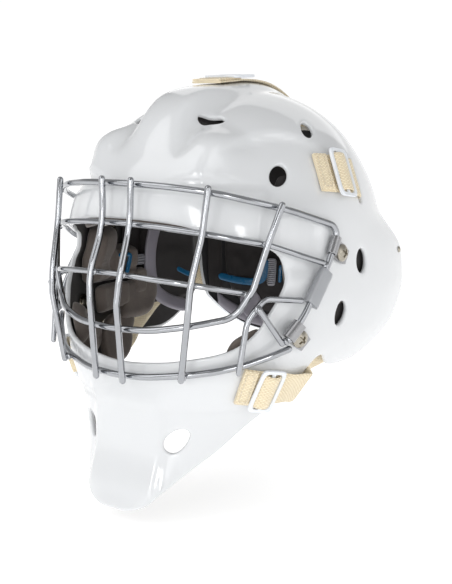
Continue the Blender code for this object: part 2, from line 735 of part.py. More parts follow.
def padding(foam, terry, liner):
    patch_pad("brow_pad", (-52, 52), (lambda a: opening_top(a) - 2.5, 56), PAD_START + 3.4, BROW_WALL - 1, foam,
              (19, 7), surface=on_plain)
    patch_pad("sweatband", (-46, 46), (lambda a: opening_top(a) - 1.0, 44), PAD_START + BROW_WALL + 3.1,
              3.0, terry, (17, 4), crown=1.0, surface=on_plain)
    ring = np.linspace(0, 2 * math.pi, 17)[:-1]
    loop = flat(0.50 + 0.12 * np.cos(2 * ring), ring)
    points, faces = trimmed_sheet(loop, [], 13.0)
    solid_node("crown_pad", *thick_sheet(points, faces, 10.0, PAD_START + 3.0), liner)
    for name, side in SIDES:
        def ends(a, b, side=side):
            return (a, b) if side > 0 else (-b, -a)
        patch_pad(f"temple_pad_{name}", ends(60, 97), (14, 56), PAD_START + 0.5, 11.0, liner, (9, 6))
        patch_pad(f"ear_pad_{name}", ends(104, 131), (-56, 8), PAD_START + 2.2, 8.0, liner, (8, 8))
        patch_pad(f"side_pad_{name}", ends(67, 99), (-38, side_pad_high), PAD_START, 16.0, foam, (12, 8))
        patch_pad(f"jaw_pad_{name}", ends(44, 79), (jaw_pad_low, jaw_pad_high), PAD_START, 11.0, foam, (12, 5))
    patch_pad("chin_pad", (-34, 34), (-134, -110), PAD_START, 9.0, foam, (7, 4))


def plate_surface(turn, z, inward=0.0):
    """The back plate's outer face and normals; the angle is measured from straight back."""
    heights = (PLATE_BOTTOM - 6, -50, 0, 45, PLATE_TOP + 6)
    wide = (68, 82, 86, 67, 42)
    deep = (74, 84, 90, 83, 60)

    def point(turn, z):
        angle = np.radians(turn)
        return np.stack([graded(z, heights, wide) * np.sin(angle),
                         PLATE_CENTRE_Y + graded(z, heights, deep) * np.cos(angle), z], -1)

    turn = np.asarray(turn, float)
    z = np.asarray(z, float) + turn * 0
    a = point(turn + 0.1, z) - point(turn - 0.1, z)
    b = point(turn, z + 0.1) - point(turn, z - 0.1)
    normal = np.cross(b, a)
    normal /= np.linalg.norm(normal, axis=-1, keepdims=True)
    return point(turn, z) - normal * inward, normal


def plate_low(turn):
    return PLATE_BOTTOM + 34 * (np.abs(turn) / PLATE_EDGE) ** 4


def plate_high(turn):
    return PLATE_TOP - 44 * (np.abs(turn) / PLATE_EDGE) ** 3


def back_plate(plastic, liner, nickel):
    patch_pad("back_plate", (-PLATE_EDGE, PLATE_EDGE), (plate_low, plate_high), 0.0, PLATE_WALL, plastic,
              (17, 11), crown=1.0, surface=plate_surface)
    patch_pad("back_plate_liner", (-PLATE_EDGE * 0.8, PLATE_EDGE * 0.8),
              (lambda a: plate_low(a) + 14, lambda a: plate_high(a) - 8), PLATE_WALL + 0.9, 9.0, liner,
              (15, 11), surface=plate_surface)


def webbing(name, route, half_width, finish, wall=WEBBING):
    """Flat webbing along (point, normal) pairs."""
    centres = [Vector(p) for p, _ in route]
    widths, normals = [], []
    for k, (_, normal) in enumerate(route):
        along = centres[min(k + 1, len(route) - 1)] - centres[max(k - 1, 0)]
        normal = Vector(normal).normalized()
        widths.append(along.cross(normal).normalized() * half_width)
        normals.append(normal)
    return strip(name, centres, widths, normals, wall, finish)


def strap_seats(side):
    """Points and normals along the temple and jaw webbing of one side."""
    def lay(turn, z, lift):
        point, normal = on_shell(turn, z, -lift)
        return (tuple(point), tuple(normal))

    temple = [lay(a, z, WEB_LIFT) for a, z in ((78, 51), (84, 49.8), (90, 48.4), (96, 46.8), (102.2, 45))]
    temple += [lay(106.3, 44.0, -6.8), lay(110, 43.2, -9.5), lay(117, 41.0, -12.5), lay(124, 38.5, -13.0)]
    jaw = [lay(a, z, WEB_LIFT) for a, z in ((54, -79.5), (60, -81), (66, -82.4), (72, -83.4))]
    jaw += [lay(77, -84, 1.8)]
    jaw += [lay(82.5, -84.6, 3.0)]
    jaw += [lay(88.4, -85.4, 3.2), lay(92.5, -86.2, -5.5), lay(97, -84.5, -9.6), lay(103, -79, -10.0), lay(109, -72, -9.4)]
    if side < 0:
        flip = ((-1, 1, 1),)
        temple, jaw = ([tuple(tuple(c * f for c, f in zip(v, flip[0])) for v in pair) for pair in line]
                       for line in (temple, jaw))
    return temple, jaw


def plate_end(side, turn, z, lift):
    point, normal = plate_surface(side * turn, z, -lift)
    return (tuple(point), tuple(normal))


def buckle(name, seat, normal, along, half_long, half_wide, finish):
    """A rectangular plastic loop lying on the webbing."""
    frame = axes_at(normal, along)
    bar = 2.6
    outer = [(-half_long, -half_wide), (half_long, -half_wide), (half_long, half_wide), (-half_long, half_wide)]
    inner = [(x - math.copysign(bar, x), y - math.copysign(bar, y)) for x, y in outer]
    points = []
    for level in (0.0, 2.0):
        for ring in (outer, inner):
            points += [(x, y, level) for x, y in ring]
    faces = []
    for i in range(4):
        j = (i + 1) % 4
        faces += [[i, j, 8 + j, 8 + i], [4 + i, 4 + j, 12 + j, 12 + i], [i, j, 4 + j, 4 + i],
                  [8 + i, 8 + j, 12 + j, 12 + i]]
    return solid_node(name, placed(points, frame, seat), faces, finish)


def straps(web, plastic):
    crown = []
    for r, phi in ((0.27, 0.0), (0.13, 0.0), (0.02, 0.0), (0.12, math.pi), (0.26, math.pi),
                   (0.40, math.pi), (0.52, math.pi), (0.63, math.pi)):
        point, normal = shell_frame(r, phi, -WEB_LIFT)
        crown.append((tuple(point), tuple(normal)))
    webbing("crown_strap", crown, 12.5, web)
    seat, normal = shell_frame(0.05, 0.0, -(WEB_LIFT + WEBBING + 0.8))
    buckle("crown_buckle", seat, normal, (0, 1, 0), 11.0, 15.5, plastic)
    tail = [((0.0, 61.0, 84.6), (0, 0.5, 0.86)), ((0.0, 68.5, 81.2), (0, 0.62, 0.78))]
    tail += [plate_end(1, 0, 72, 2.6), plate_end(1, 0, 58, 1.6), plate_end(1, 0, 48, 1.6)]
    webbing("crown_strap_tail", tail, 12.5, web)
    for name, side in SIDES:
        temple, jaw = strap_seats(side)
        temple_to = [plate_end(side, 74, 34, 2.7)]
        webbing(f"temple_strap_{name}", temple + temple_to, 13.6, web)
        webbing(f"jaw_strap_{name}", jaw, 13.0, web)
        for kind, line, half in (("temple", temple, 17.0), ("jaw", jaw, 16.5)):
            first, last = 1, 3
            middle = Vector(line[(first + last) // 2][0])
            normal = Vector(line[(first + last) // 2][1]).normalized()
            along = Vector(line[last][0]) - Vector(line[first][0])
            seat = middle + normal * (WEBBING + 1.4)
            buckle(f"{kind}_buckle_{name}", seat, normal, along, 9.0, half, plastic)


def chin_cup(soft, web, nickel):
    """A soft cup on two short straps that swing on snaps at the jaw."""
    _, y, z = CHIN_HINGE
    top = z - 12
    bowl = [(0, -21), (13, -19), (24, -12), (30, 0), (26.5, 0), (21, -9.5), (11.5, -15.5), (0, -17.5)]
    points, faces = turned_points(bowl, 20)
    points = [(px * 1.15, y + py * 0.8, top + pz) for px, py, pz in points]
    solid_node("chin_cup", points, faces, soft)
    for name, side in SIDES:
        wall_x = 66.5
        up = Vector((side * -0.35, 0, 1)).normalized()
        low = Vector((side * 35.5, y, top - 1.0))
        high = Vector((side * (wall_x - 4), y, z))
        line = [low, low.lerp(high, 0.5) - Vector((0, 0, 1.5)), high]
        route = [(tuple(p), tuple(up)) for p in line]
        webbing(f"chin_strap_{name}", route, 6.0, web)
        stud = [(0, 0), (4.5, 0), (4.5, -1.2), (2.2, -2.4), (0, -2.4)]
        points, faces = turned_points(stud, 12)
        seat, normal = on_shell(side * 54.5, z, SHELL_WALL + 1.0)
        frame = axes_at(normal, (0, 0, 1))
        solid_node(f"chin_snap_{name}", placed(points, frame, seat), faces, nickel)


def rivets(nickel):
    """A small rivet at the rear corner of each ear flap."""
    for name, side in SIDES:
        seat, normal = on_shell(side * 135.0, -9.0, -CLEAR)
        points, faces = turned_points([(0, 0), (2.2, 0), (2.2, 0.4), (1.3, 1.2), (0, 1.4)], 12)
        frame = axes_at(normal, (0, 0, 1))
        solid_node(f"flap_rivet_{name}", placed(points, frame, seat), faces, nickel)


def main():
    clear_scene()
    white = material("white_shell", (0.86, 0.87, 0.88), 0.16)
    chrome = material("chrome_wire", (0.80, 0.81, 0.83), 0.12, 1.0)
    steel = material("clip_steel", (0.72, 0.72, 0.72), 0.25, 1.0)
    nickel = material("nickel_screw", (0.70, 0.67, 0.60), 0.28, 1.0)
    silver = material("silver_label", (0.62, 0.63, 0.65), 0.35, 0.6)
    foam = material("taupe_foam", (0.105, 0.085, 0.072), 0.85)
    liner = material("dark_liner", (0.016, 0.014, 0.014), 0.9)
    terry = material("terry_cloth", (0.72, 0.68, 0.60), 0.95)
    web = material("beige_webbing", (0.80, 0.68, 0.46), 0.9)
    plastic = material("white_plastic", (0.82, 0.84, 0.87), 0.35)
    grey = material("grey_plastic", (0.26, 0.25, 0.29), 0.5)
    shell(white)
    cage(chrome)
    fixings(steel, nickel, chrome)
    label_sleeves(silver)
    padding(foam, terry, liner)
    back_plate(grey, liner, nickel)
    straps(web, plastic)
    chin_cup(foam, web, nickel)
    rivets(nickel)


main()
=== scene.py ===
"""Goalie mask: the looks of a one-piece shell with a wire cage, padding, chin cup and strapped back plate.

Frame: metres, +Z up, the mask faces -Y and the wearer's left is +X. The tables are in millimetres, and are
scaled once, when a mesh is made. A place on the shell is an angle from the front in degrees and a height.
"""

import math

import bmesh
import bpy
import numpy as np
from mathutils import Matrix, Vector
from mathutils.geometry import delaunay_2d_cdt


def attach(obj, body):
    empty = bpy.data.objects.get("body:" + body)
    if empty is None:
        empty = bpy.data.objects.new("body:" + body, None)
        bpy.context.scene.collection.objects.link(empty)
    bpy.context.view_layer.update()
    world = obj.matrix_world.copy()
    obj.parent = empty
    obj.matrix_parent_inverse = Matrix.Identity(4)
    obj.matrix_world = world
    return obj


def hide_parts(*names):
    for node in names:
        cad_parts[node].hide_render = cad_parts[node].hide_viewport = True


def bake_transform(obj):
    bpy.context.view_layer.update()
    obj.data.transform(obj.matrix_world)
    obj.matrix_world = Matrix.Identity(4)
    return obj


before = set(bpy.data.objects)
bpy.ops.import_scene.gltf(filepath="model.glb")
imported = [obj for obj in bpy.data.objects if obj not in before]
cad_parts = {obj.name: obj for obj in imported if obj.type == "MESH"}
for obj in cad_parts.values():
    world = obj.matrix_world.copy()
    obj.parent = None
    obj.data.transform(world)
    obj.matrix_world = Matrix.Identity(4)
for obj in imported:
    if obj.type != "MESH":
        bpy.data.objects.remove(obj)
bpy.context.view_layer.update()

MM = 0.001

# ---- driving dimensions, millimetres ---------------------------------------------------------
SHELL_WALL = 3.6
CROWN_TOP = 105.0          # top of the plain dome, before the crest is added
DOME_BASE = 10.0           # height where the dome meets the side walls
WALL_PER_RADIAN = 100.0    # wall height covered by one radian of the shell's chart
NUDGE = 1e-3               # step of the central differences, in radians

# Horizontal sections of the shell: height, half width, front, widest point, squareness
SECTIONS = (
    (110, 105, -126, -12, 2.0),
    (80, 104, -127, -17.5, 1.95),
    (60, 103, -129, -22, 1.95),
    (45, 103, -127.5, -26, 2.0),
    (10, 104, -124.5, -35, 2.2),
    (-30, 105, -132, -35, 2.4),
    (-55, 102, -134, -38, 2.3),
    (-75, 94, -133, -48, 2.2),
    (-100, 76, -131, -66, 2.1),
    (-125, 61, -131, -84, 2.2),
    (-150, 52, -138, -92, 2.4),
    (-172, 50, -148, -95, 2.5),
)
# Where the sections would close at the back; the ear flaps flare out below the dome
REAR = ((110, 100), (60, 95), (22, 95), (-6, 140), (-75, 150), (-172, 20))

# Face opening, one half: angle from the front in degrees, height
FACE_OPENING = (
    (0, 23), (21, 21.5), (34, 17.5), (47, 12), (56, 8), (61.5, 3.5), (64, -6), (63.5, -16),
    (61, -25), (57.5, -35), (54.5, -45), (50, -54), (43, -61), (31, -66), (18, -69.5), (0, -71),
)
# Lower and rear edge, one half, from the chin to the crown's back: angle, height
OUTER_EDGE = (
    (0, -164), (12, -164), (28, -160), (42, -149), (60, -135), (72, -124), (80, -108), (85, -99),
    (84.5, -90), (83.5, -78), (84.5, -68.5), (89, -67), (95, -72), (102, -77), (115, -79),
    (124, -78), (131, -68), (134.5, -52), (137, -30), (137.5, -10), (135.5, 1), (134, 9), (134, 22),
    (136, 45), (143, 66),
    (158, 80), (180, 84),
)
# Vent holes: angle, height, half width along the angle and half height in mm, tilt in degrees
VENTS = (
    (26.5, 84.5, 10.0, 6.6, -12),
    (82.0, 78.0, 6.4, 9.6, -28),
    (60.5, 52.0, 8.0, 9.8, -10),
    (104.0, -9.0, 8.0, 9.6, 6),
    (91.0, -41.0, 8.0, 9.6, 8),
    (41.5, -119.5, 9.0, 10.5, 12),
)
SCREW_HOLE_R = 2.9
EDGE_GAP = 0.45            # least distance from a mesh point to the sheet's edges, in mesh steps
SLOT_HALF = (3.6, 17.5)    # strap slot in the temple, half width and half height

WIRE_R = 2.15              # uprights and frame wire
BAR_R = 1.9                # horizontal bars

# Cage: points of one half of each wire, wearer's left, from the middle or the top outwards
TOP_BAR = (
    (0, -130.6, 45), (34, -127.8, 44.2), (64, -117, 41), (84, -100, 35), (95, -81, 29.5),
    (107.2, -42.5, 16.5), (107.6, -55, -5), (106, -78, -34), (101.6, -89.5, -50),
)
TOP_BAR_BENDS = (60, 60, 60, 60, 60, 7, 40, 40)
SECOND_BAR = ((0, -130.8, 19.5), (34, -129, 18.5), (62, -121.6, 16), (76, -110.5, 12.6), (89, -94.5, 8.6),
              (100, -77, 1.5), (106.8, -60.3, -4.6))
THIRD_BAR = ((0, -142.8, -11), (30, -140.5, -12.2), (60, -130.5, -15), (80, -103.5, -21.5))
EYE_WIRE = (
    (0, -142.2, -46.5), (30, -139.7, -45.5), (56, -128.6, -41), (76, -112, -36),
    (86, -106, -18), (91.4, -99.4, 8.4), (97, -91.5, 33.5),
)
EYE_WIRE_BENDS = (60, 60, 18, 12, 60, 60)
BOTTOM_BAR = ((0, -140, -77), (24, -138.5, -76.3), (51, -128.5, -73), (67, -119, -70), (81, -107, -66),
              (93, -96.5, -60.5), (100.5, -88, -56.2))
CENTRE_UPRIGHT = ((12.4, -135.4, 47.5), (11.6, -135.6, 19), (13, -147.3, -11), (11.4, -149, -29.5),
                  (11.6, -144.7, -79))
OUTER_UPRIGHT = ((63.7, -122.3, 44), (62.6, -126.6, 16), (60, -135.2, -15), (59.2, -136.4, -31),
                 (51.2, -134.0, -75))
SIDE_WIRE = ((103.6, -79.5, -26.5), (90.5, -100, -24), (84, -109.5, -37), (81.8, -115.0, -69.5))
DIAGONAL = ((91.6, -107, -30), (99, -93.5, -52))


def smooth(x, a, b):
    t = np.clip((x - a) / (b - a), 0.0, 1.0)
    return t * t * (3.0 - 2.0 * t)


def graded(x, knots, values):
    """A monotone cubic through a table: no overshoot between its rows."""
    order = np.argsort(knots)
    knots, values = np.asarray(knots, float)[order], np.asarray(values, float)[order]
    step = np.diff(knots)
    slope = np.diff(values) / step
    tangent = np.empty(len(knots))
    tangent[0], tangent[-1] = slope[0], slope[-1]
    same_way = slope[:-1] * slope[1:] > 0
    total = np.where(same_way, slope[:-1] + slope[1:], 1.0)
    tangent[1:-1] = np.where(same_way, 2.0 * slope[:-1] * slope[1:] / total, 0.0)
    x = np.clip(x, knots[0], knots[-1])
    i = np.clip(np.searchsorted(knots, x) - 1, 0, len(step) - 1)
    t = (x - knots[i]) / step[i]
    return (
        (2 * t**3 - 3 * t**2 + 1) * values[i] + (t**3 - 2 * t**2 + t) * step[i] * tangent[i]
        + (3 * t**2 - 2 * t**3) * values[i + 1] + (t**3 - t**2) * step[i] * tangent[i + 1]
    )


def section(z):
    heights = [row[0] for row in SECTIONS]
    width, front, middle, square = (
        graded(z, heights, [row[k] for row in SECTIONS]) for k in (1, 2, 3, 4)
    )
    rear = graded(z, [row[0] for row in REAR], [row[1] for row in REAR])
    return width, front, middle, square, rear


def plain(r, phi):
    """The shell without relief. r is the way down from the crown, phi the angle from the front."""
    dome = np.minimum(r, math.pi / 2)
    spread = np.sin(dome)
    rise = np.cos(dome)
    z = np.where(r < math.pi / 2, DOME_BASE + (CROWN_TOP - DOME_BASE) * rise,
                 DOME_BASE - (r - math.pi / 2) * WALL_PER_RADIAN)
    width, front, middle, square, rear = section(z)
    along = np.cos(phi)
    depth = np.where(along > 0, middle - front, rear - middle)
    across = np.abs(np.sin(phi) / width) ** square + np.abs(along / depth) ** square
    reach = spread * across ** (-1.0 / square)
    return np.stack([reach * np.sin(phi), middle - reach * along, z], -1)


def relief(point, phi):
    """How far the moulded shapes stand proud of the plain shell."""
    x, y, z = np.abs(point[..., 0]), point[..., 1], point[..., 2]
    turn = np.degrees(np.abs(phi))
    crest = 10.5 * (1 - smooth(x, 11, 25)) * smooth(z, 60, 92)
    crest = crest * (1 - 0.6 * smooth(y, -80, -25)) * (1 - smooth(y, 5, 60))
    lobe = 9.0 * np.exp(-(((x - 46) / 17) ** 2)) * smooth(-y, 70, 98)
    lobe = lobe * (0.6 * smooth(z, 43, 50) + 0.4 * smooth(z, 50, 68)) * (1 - smooth(z, 71, 89))
    valley = -1.6 * np.exp(-(((x - 27) / 5) ** 2)) * smooth(z, 58, 68) * smooth(-y, 20, 70)
    oval = np.sqrt(((turn - 60) / 31) ** 2 + ((z - 52) / 25) ** 2)
    temple = -3.8 * (1 - smooth(oval, 0.84, 1.0)) * (1 - smooth(turn, 62, 92)) * smooth(z, 26, 44)
    brow = 2.8 * (smooth(z, 6, 12) - smooth(z, 40, 45)) * (1 - smooth(turn, 53.5, 57.5))
    side_top = 61 - 0.5 * turn
    side = -2.4 * smooth(turn, 58, 62) * (1 - smooth(turn, 76, 80))
    side = side * (1 - smooth(z, side_top - 3, side_top + 2)) * smooth(z, -16, -6)
    jaw = 1.6 * smooth(z, -101, -93) * (1 - smooth(z, -76, -70)) * (1 - smooth(turn, 74, 84))
    plateau = 2.2 * (1 - smooth(x, 25, 33)) * smooth(-z, 84, 94) * (1 - smooth(-z, 150, 164))
    return crest + lobe + valley + temple + brow + side + jaw + plateau


def unit(vectors):
    return vectors / np.maximum(np.linalg.norm(vectors, axis=-1, keepdims=True), 1e-12)


def outward(surface, r, phi, nudge=NUDGE):
    """The unit normal of a surface of (r, phi), by central differences."""
    a = surface(r, phi + nudge) - surface(r, phi - nudge)
    b = surface(r + nudge, phi) - surface(r - nudge, phi)
    return unit(np.cross(b, a))


def raised(r, phi):
    point = plain(r, phi)
    return point + outward(plain, r, phi) * relief(point, phi)[..., None]


def shell_frame(r, phi, inward=0.0):
    """Points of the shell, and the outward normals there, as two arrays."""
    r, phi = np.maximum(np.asarray(r, float), 0.02), np.asarray(phi, float)
    normal = outward(raised, r, phi)
    return raised(r, phi) - normal * inward, normal


def chart_radius(z):
    """The r of a height on the walls or the dome."""
    z = np.asarray(z, float)
    high = np.arccos(np.clip((z - DOME_BASE) / (CROWN_TOP - DOME_BASE), 0.0, 1.0))
    return np.where(z > DOME_BASE, high, math.pi / 2 + (DOME_BASE - z) / WALL_PER_RADIAN)


def on_shell(turn, z, inward=0.0):
    """The shell's point and normal at an angle from the front in degrees and a height."""
    return shell_frame(chart_radius(z), np.radians(turn), inward)


def on_plain(turn, z, inward=0.0):
    """The same on the shell without relief, for pads that bridge its moulded shapes."""
    r, phi = np.broadcast_arrays(chart_radius(z), np.radians(turn))
    normal = outward(plain, r, phi)
    return plain(r, phi) - normal * inward, normal


def flat(r, phi):
    return np.stack([r * np.sin(phi), -r * np.cos(phi)], -1)


def both_halves(half):
    """A closed loop of (angle, height) from one half whose ends are on the middle plane."""
    return [tuple(p) for p in half] + [(-a, z) for a, z in reversed(half[1:-1])]


def rounded_loop(points, step):
    """A closed Catmull-Rom curve through (angle, height) points, as chart points."""
    points = np.asarray(points, float)
    near = [np.roll(points, k, axis=0) for k in (1, 0, -1, -2)]
    out = []
    for a, b, c, d in zip(*near):
        a, c, d = (np.array([q[0] + 360 * round((b[0] - q[0]) / 360), q[1]]) for q in (a, c, d))
        count = max(1, round(math.hypot((c[0] - b[0]) * 1.75, c[1] - b[1]) / step))
        for t in np.arange(count) / count:
            out.append(0.5 * (2 * b + (c - a) * t + (2 * a - 5 * b + 4 * c - d) * t**2
                              + (3 * b - a - 3 * c + d) * t**3))
    out = np.array(out)
    return flat(chart_radius(out[:, 1]), np.radians(out[:, 0]))


def local_loop(turn, z, outline):
    """Chart points of an outline drawn in mm on the shell's tangent plane."""
    r = float(chart_radius(z))
    phi = math.radians(turn)
    along = np.linalg.norm(plain(r, phi + NUDGE) - plain(r, phi - NUDGE)) / (2 * NUDGE)
    down = np.linalg.norm(plain(r + NUDGE, phi) - plain(r - NUDGE, phi)) / (2 * NUDGE)
    outline = np.asarray(outline, float)
    return flat(r - outline[:, 1] / down, phi + outline[:, 0] / along)


def tilted(x, y, tilt):
    c, s = math.cos(math.radians(tilt)), math.sin(math.radians(tilt))
    return np.stack([x * c - y * s, x * s + y * c], -1)


def oval_outline(half_wide, half_high, tilt, count):
    t = np.arange(count) * 2 * math.pi / count
    return tilted(half_wide * np.cos(t), half_high * np.sin(t), tilt)


def slot_outline(half_wide, half_high, tilt, each, between):
    """A slot with round ends, and points along its straight sides."""
    points = []
    straight = half_high - half_wide
    for side in (1, -1):
        for k in range(1, between):
            points.append((side * half_wide, side * straight * (2 * k / between - 1)))
        for k in range(each):
            t = math.pi * k / (each - 1)
            points.append((side * half_wide * math.cos(t), side * (straight + half_wide * math.sin(t))))
    return tilted(*np.array(points).T, tilt)


def inside(points, loop):
    """Which points lie in a closed loop, by crossing count."""
    a, b = loop, np.roll(loop, -1, axis=0)
    x, y = points[:, 0:1], points[:, 1:2]
    spans = (a[:, 1] > y) != (b[:, 1] > y)
    rise = np.where(b[:, 1] == a[:, 1], 1.0, b[:, 1] - a[:, 1])
    crossing = a[:, 0] + (y - a[:, 1]) * (b[:, 0] - a[:, 0]) / rise
    return ((spans & (x < crossing)).sum(axis=1) % 2) == 1


def trimmed_sheet(outer, holes, step):
    """Chart points, triangles and loops of the sheet inside outer and outside the holes."""
    deepest = np.linalg.norm(outer, axis=1).max()
    rings = []
    for k, r in enumerate(np.arange(0.06, deepest, step / WALL_PER_RADIAN)):
        reach = 2 * math.pi * WALL_PER_RADIAN * min(math.sin(min(r, math.pi / 2)) + 0.03, 1.0)
        count = max(6, round(reach / step))
        phi = (np.arange(count) + 0.5 * (k % 2)) * 2 * math.pi / count
        rings.append(flat(np.full(count, r), phi))
    field = np.concatenate(rings)
    loops = [outer] + holes

    def kept(points):
        return inside(points, outer) & ~np.any([inside(points, hole) for hole in holes], axis=0)

    wanted = kept(field)
    edge = np.concatenate(loops)
    stretch = np.maximum(np.linalg.norm(field, axis=1), 1.0)
    for k in np.nonzero(wanted)[0]:
        gap = np.min(np.linalg.norm(edge - field[k], axis=1))
        wanted[k] = gap * WALL_PER_RADIAN / stretch[k] ** 0.5 > EDGE_GAP * step
    edges, start = [], 0
    for loop in loops:
        n = len(loop)
        edges += [(start + i, start + (i + 1) % n) for i in range(n)]
        start += n
    points = np.concatenate([edge, field[wanted]])
    made = delaunay_2d_cdt([Vector(p) for p in points], edges, [], 0, 1e-7)
    points = np.array([tuple(v) for v in made[0]])
    faces = np.array([tuple(f) for f in made[2]])
    return points, faces[kept(points[faces].mean(axis=1))]


# ---- materials ------------------------------------------------------------------------------------
def set_stops(ramp, stops):
    """Fills a colour ramp; each stop is (position, colour or grey)."""
    row = ramp.color_ramp.elements
    while len(row) < len(stops):
        row.new(0.5)
    for element, (position, value) in zip(row, stops):
        element.position = position
        element.color = (value,) * 3 + (1,) if isinstance(value, float) else (*value, 1)


def faded(colour, by):
    return tuple(min(1.0, c * by) for c in colour)


class Paint:
    """A Principled material whose node graph is built up step by step."""

    def __init__(self, name, colour, rough, metal=0.0, **values):
        self.made = bpy.data.materials.new(name)
        self.made.use_nodes = True
        self.nodes, self.links = self.made.node_tree.nodes, self.made.node_tree.links
        self.shader = self.nodes["Principled BSDF"].inputs
        self.height = None
        for key, value in {"Base_Color": (*colour, 1.0), "Roughness": rough, "Metallic": metal, **values}.items():
            self.shader[key.replace("_", " ")].default_value = value

    def add(self, kind, feeds, **settings):
        """A node; each of its feeds is a number, a colour or another node's output."""
        made = self.nodes.new(kind)
        for key, value in settings.items():
            setattr(made, key, value)
        for key, value in feeds.items():
            if isinstance(value, bpy.types.NodeSocket):
                self.links.new(value, made.inputs[key])
            else:
                made.inputs[key].default_value = (*value, 1.0) if isinstance(value, tuple) else value
        return made

    def where(self, kind="Object"):
        return self.add("ShaderNodeTexCoord", {}).outputs[kind]

    def maths(self, operation, *values):
        return self.add("ShaderNodeMath", dict(enumerate(values)), operation=operation).outputs[0]

    def noise(self, scale, detail=3.0, rough=0.5):
        return self.add("ShaderNodeTexNoise", {"Vector": self.where(), "Scale": scale, "Detail": detail,
                                               "Roughness": rough}).outputs["Fac"]

    def cells(self, scale):
        return self.add("ShaderNodeTexVoronoi", {"Vector": self.where(), "Scale": scale}).outputs["Distance"]

    def ramp(self, source, *stops):
        made = self.add("ShaderNodeValToRGB", {"Fac": source})
        set_stops(made, stops)
        return made.outputs["Color"]

    def mix(self, factor, a, b):
        return self.add("ShaderNodeMix", {0: factor, 6: a, 7: b}, data_type="RGBA").outputs[2]

    def to(self, key, source):
        self.links.new(source, self.shader[key])
        return self

    def worn(self, noise, *stops):
        """Roughness that wanders with a noise of (scale, detail, roughness)."""
        return self.to("Roughness", self.ramp(self.noise(*noise), *stops))

    def mottled(self, noise, low, high, a, b):
        """Base colour that wanders between two."""
        return self.to("Base Color", self.mix(self.ramp(self.noise(*noise), low, high), a, b))

    def bump(self, source, strength, distance):
        """Adds a bump on top of those already made; distance is in metres."""
        feeds = {"Strength": strength, "Distance": distance, "Height": source}
        if self.height:
            feeds["Normal"] = self.height
        self.height = self.add("ShaderNodeBump", feeds).outputs["Normal"]
        return self.to("Normal", self.height)


def shell_paint():
    p = Paint("white_shell", (0.695, 0.708, 0.722), 0.11, Coat_Weight=0.6, Coat_Roughness=0.035, Coat_IOR=1.5,
              IOR=1.5)
    p.worn((16.0, 6.0, 0.62), (0.3, 0.08), (0.62, 0.17), (0.8, 0.26))
    dust = p.mix(p.ramp(p.noise(150.0, 4.0, 0.7), (0.66, 0.0), (0.78, 0.16)), (0.705, 0.718, 0.732),
                 (0.59, 0.58, 0.565))
    p.mottled((9.0, 3.0), (0.35, 0.0), (0.75, 0.22), dust, (0.65, 0.664, 0.678))
    return p.bump(p.noise(420.0, 1.0), 0.05, 0.0002).bump(p.noise(26.0, 2.0), 0.10, 0.0008).made


def inner_shell_paint():
    # Near black: partly the shell's own inner finish, partly painted shade, so the vents and holes look dark from
    # outside.
    p = Paint("shell_inside", (0.045, 0.043, 0.042), 0.6)
    p.mottled((30.0, 4.0), (0.3, 0.0), (0.8, 1.0), (0.03, 0.029, 0.029), (0.075, 0.072, 0.07))
    return p.bump(p.noise(300.0, 3.0), 0.35, 0.0004).made


def metal_paint(name, colour, rough):
    p = Paint(name, colour, rough, 1.0)
    p.worn((70.0, 5.0, 0.6), (0.3, rough * 0.6), (0.75, rough * 2.6))
    p.mottled((180.0, 4.0), (0.55, 0.0), (0.75, 0.5), colour, faded(colour, 0.72))
    return p.bump(p.noise(260.0, 2.0), 0.10, 0.0002).made


def foam_paint(name, colour):
    p = Paint(name, colour, 0.85, Sheen_Weight=0.25, Sheen_Roughness=0.5)
    p.mottled((60.0, 5.0, 0.65), (0.3, 0.0), (0.75, 1.0), faded(colour, 0.78), faded(colour, 1.25))
    return p.bump(p.cells(900.0), 0.5, 0.0004).bump(p.noise(90.0, 4.0), 0.35, 0.0008).made


def weave_paint(name, colour, dark, pitch=1.15):
    """Flat webbing: its UV map is in millimetres, across and along."""
    p = Paint(name, colour, 0.9, Sheen_Weight=0.35, Sheen_Roughness=0.45)
    across, along, _ = p.add("ShaderNodeSeparateXYZ", {0: p.where("UV")}).outputs
    step = 2 * math.pi / pitch
    warp = p.maths("SINE", p.maths("MULTIPLY", across, step))
    weft = p.maths("SINE", p.maths("MULTIPLY", along, step * 0.8))
    checks = p.maths("MULTIPLY", p.maths("MULTIPLY", warp, weft), 0.5)
    ridge = p.maths("ADD", checks, p.maths("MULTIPLY", p.maths("ABSOLUTE", warp), 0.7))
    shade = p.ramp(p.maths("ADD", p.maths("MULTIPLY", ridge, 0.5), 0.35), (0.15, dark), (0.75, colour))
    p.mottled((500.0, 4.0, 0.7), (0.35, 0.0), (0.75, 0.35), shade, faded(colour, 1.12))
    return p.bump(ridge, 0.85, 0.0004).bump(p.noise(1400.0, 3.0), 0.35, 0.0002).made


def terry_paint():
    p = Paint("terry_cloth", (0.74, 0.70, 0.62), 0.95, Sheen_Weight=0.6, Sheen_Roughness=0.5)
    loops = p.cells(620.0)
    # Painted shade: the colour darkens from the middle of each loop towards its edge, where the loops meet, following
    # the same cells as the bump.
    p.to("Base Color", p.ramp(loops, (0.0, (0.80, 0.76, 0.68)), (0.9, (0.42, 0.38, 0.33))))
    return p.bump(loops, 0.9, 0.0011).made


def cloth_paint(name, colour):
    p = Paint(name, colour, 0.88, Sheen_Weight=0.12, Sheen_Roughness=0.5)
    p.mottled((40.0, 4.0), (0.3, 0.0), (0.8, 1.0), colour, faded(colour, 1.7))
    return p.bump(p.noise(1300.0, 3.0, 0.7), 0.5, 0.0003).bump(p.noise(110.0, 3.0), 0.3, 0.0008).made


def plastic_paint(name, colour, rough=0.38):
    p = Paint(name, colour, rough, Coat_Weight=0.12, Coat_Roughness=0.2)
    p.worn((120.0, 4.0), (0.3, rough * 0.8), (0.8, min(1.0, rough * 1.35)))
    p.mottled((45.0, 3.0), (0.35, 0.0), (0.8, 0.6), colour, faded(colour, 0.9))
    return p.bump(p.noise(700.0, 2.0), 0.18, 0.0002).made


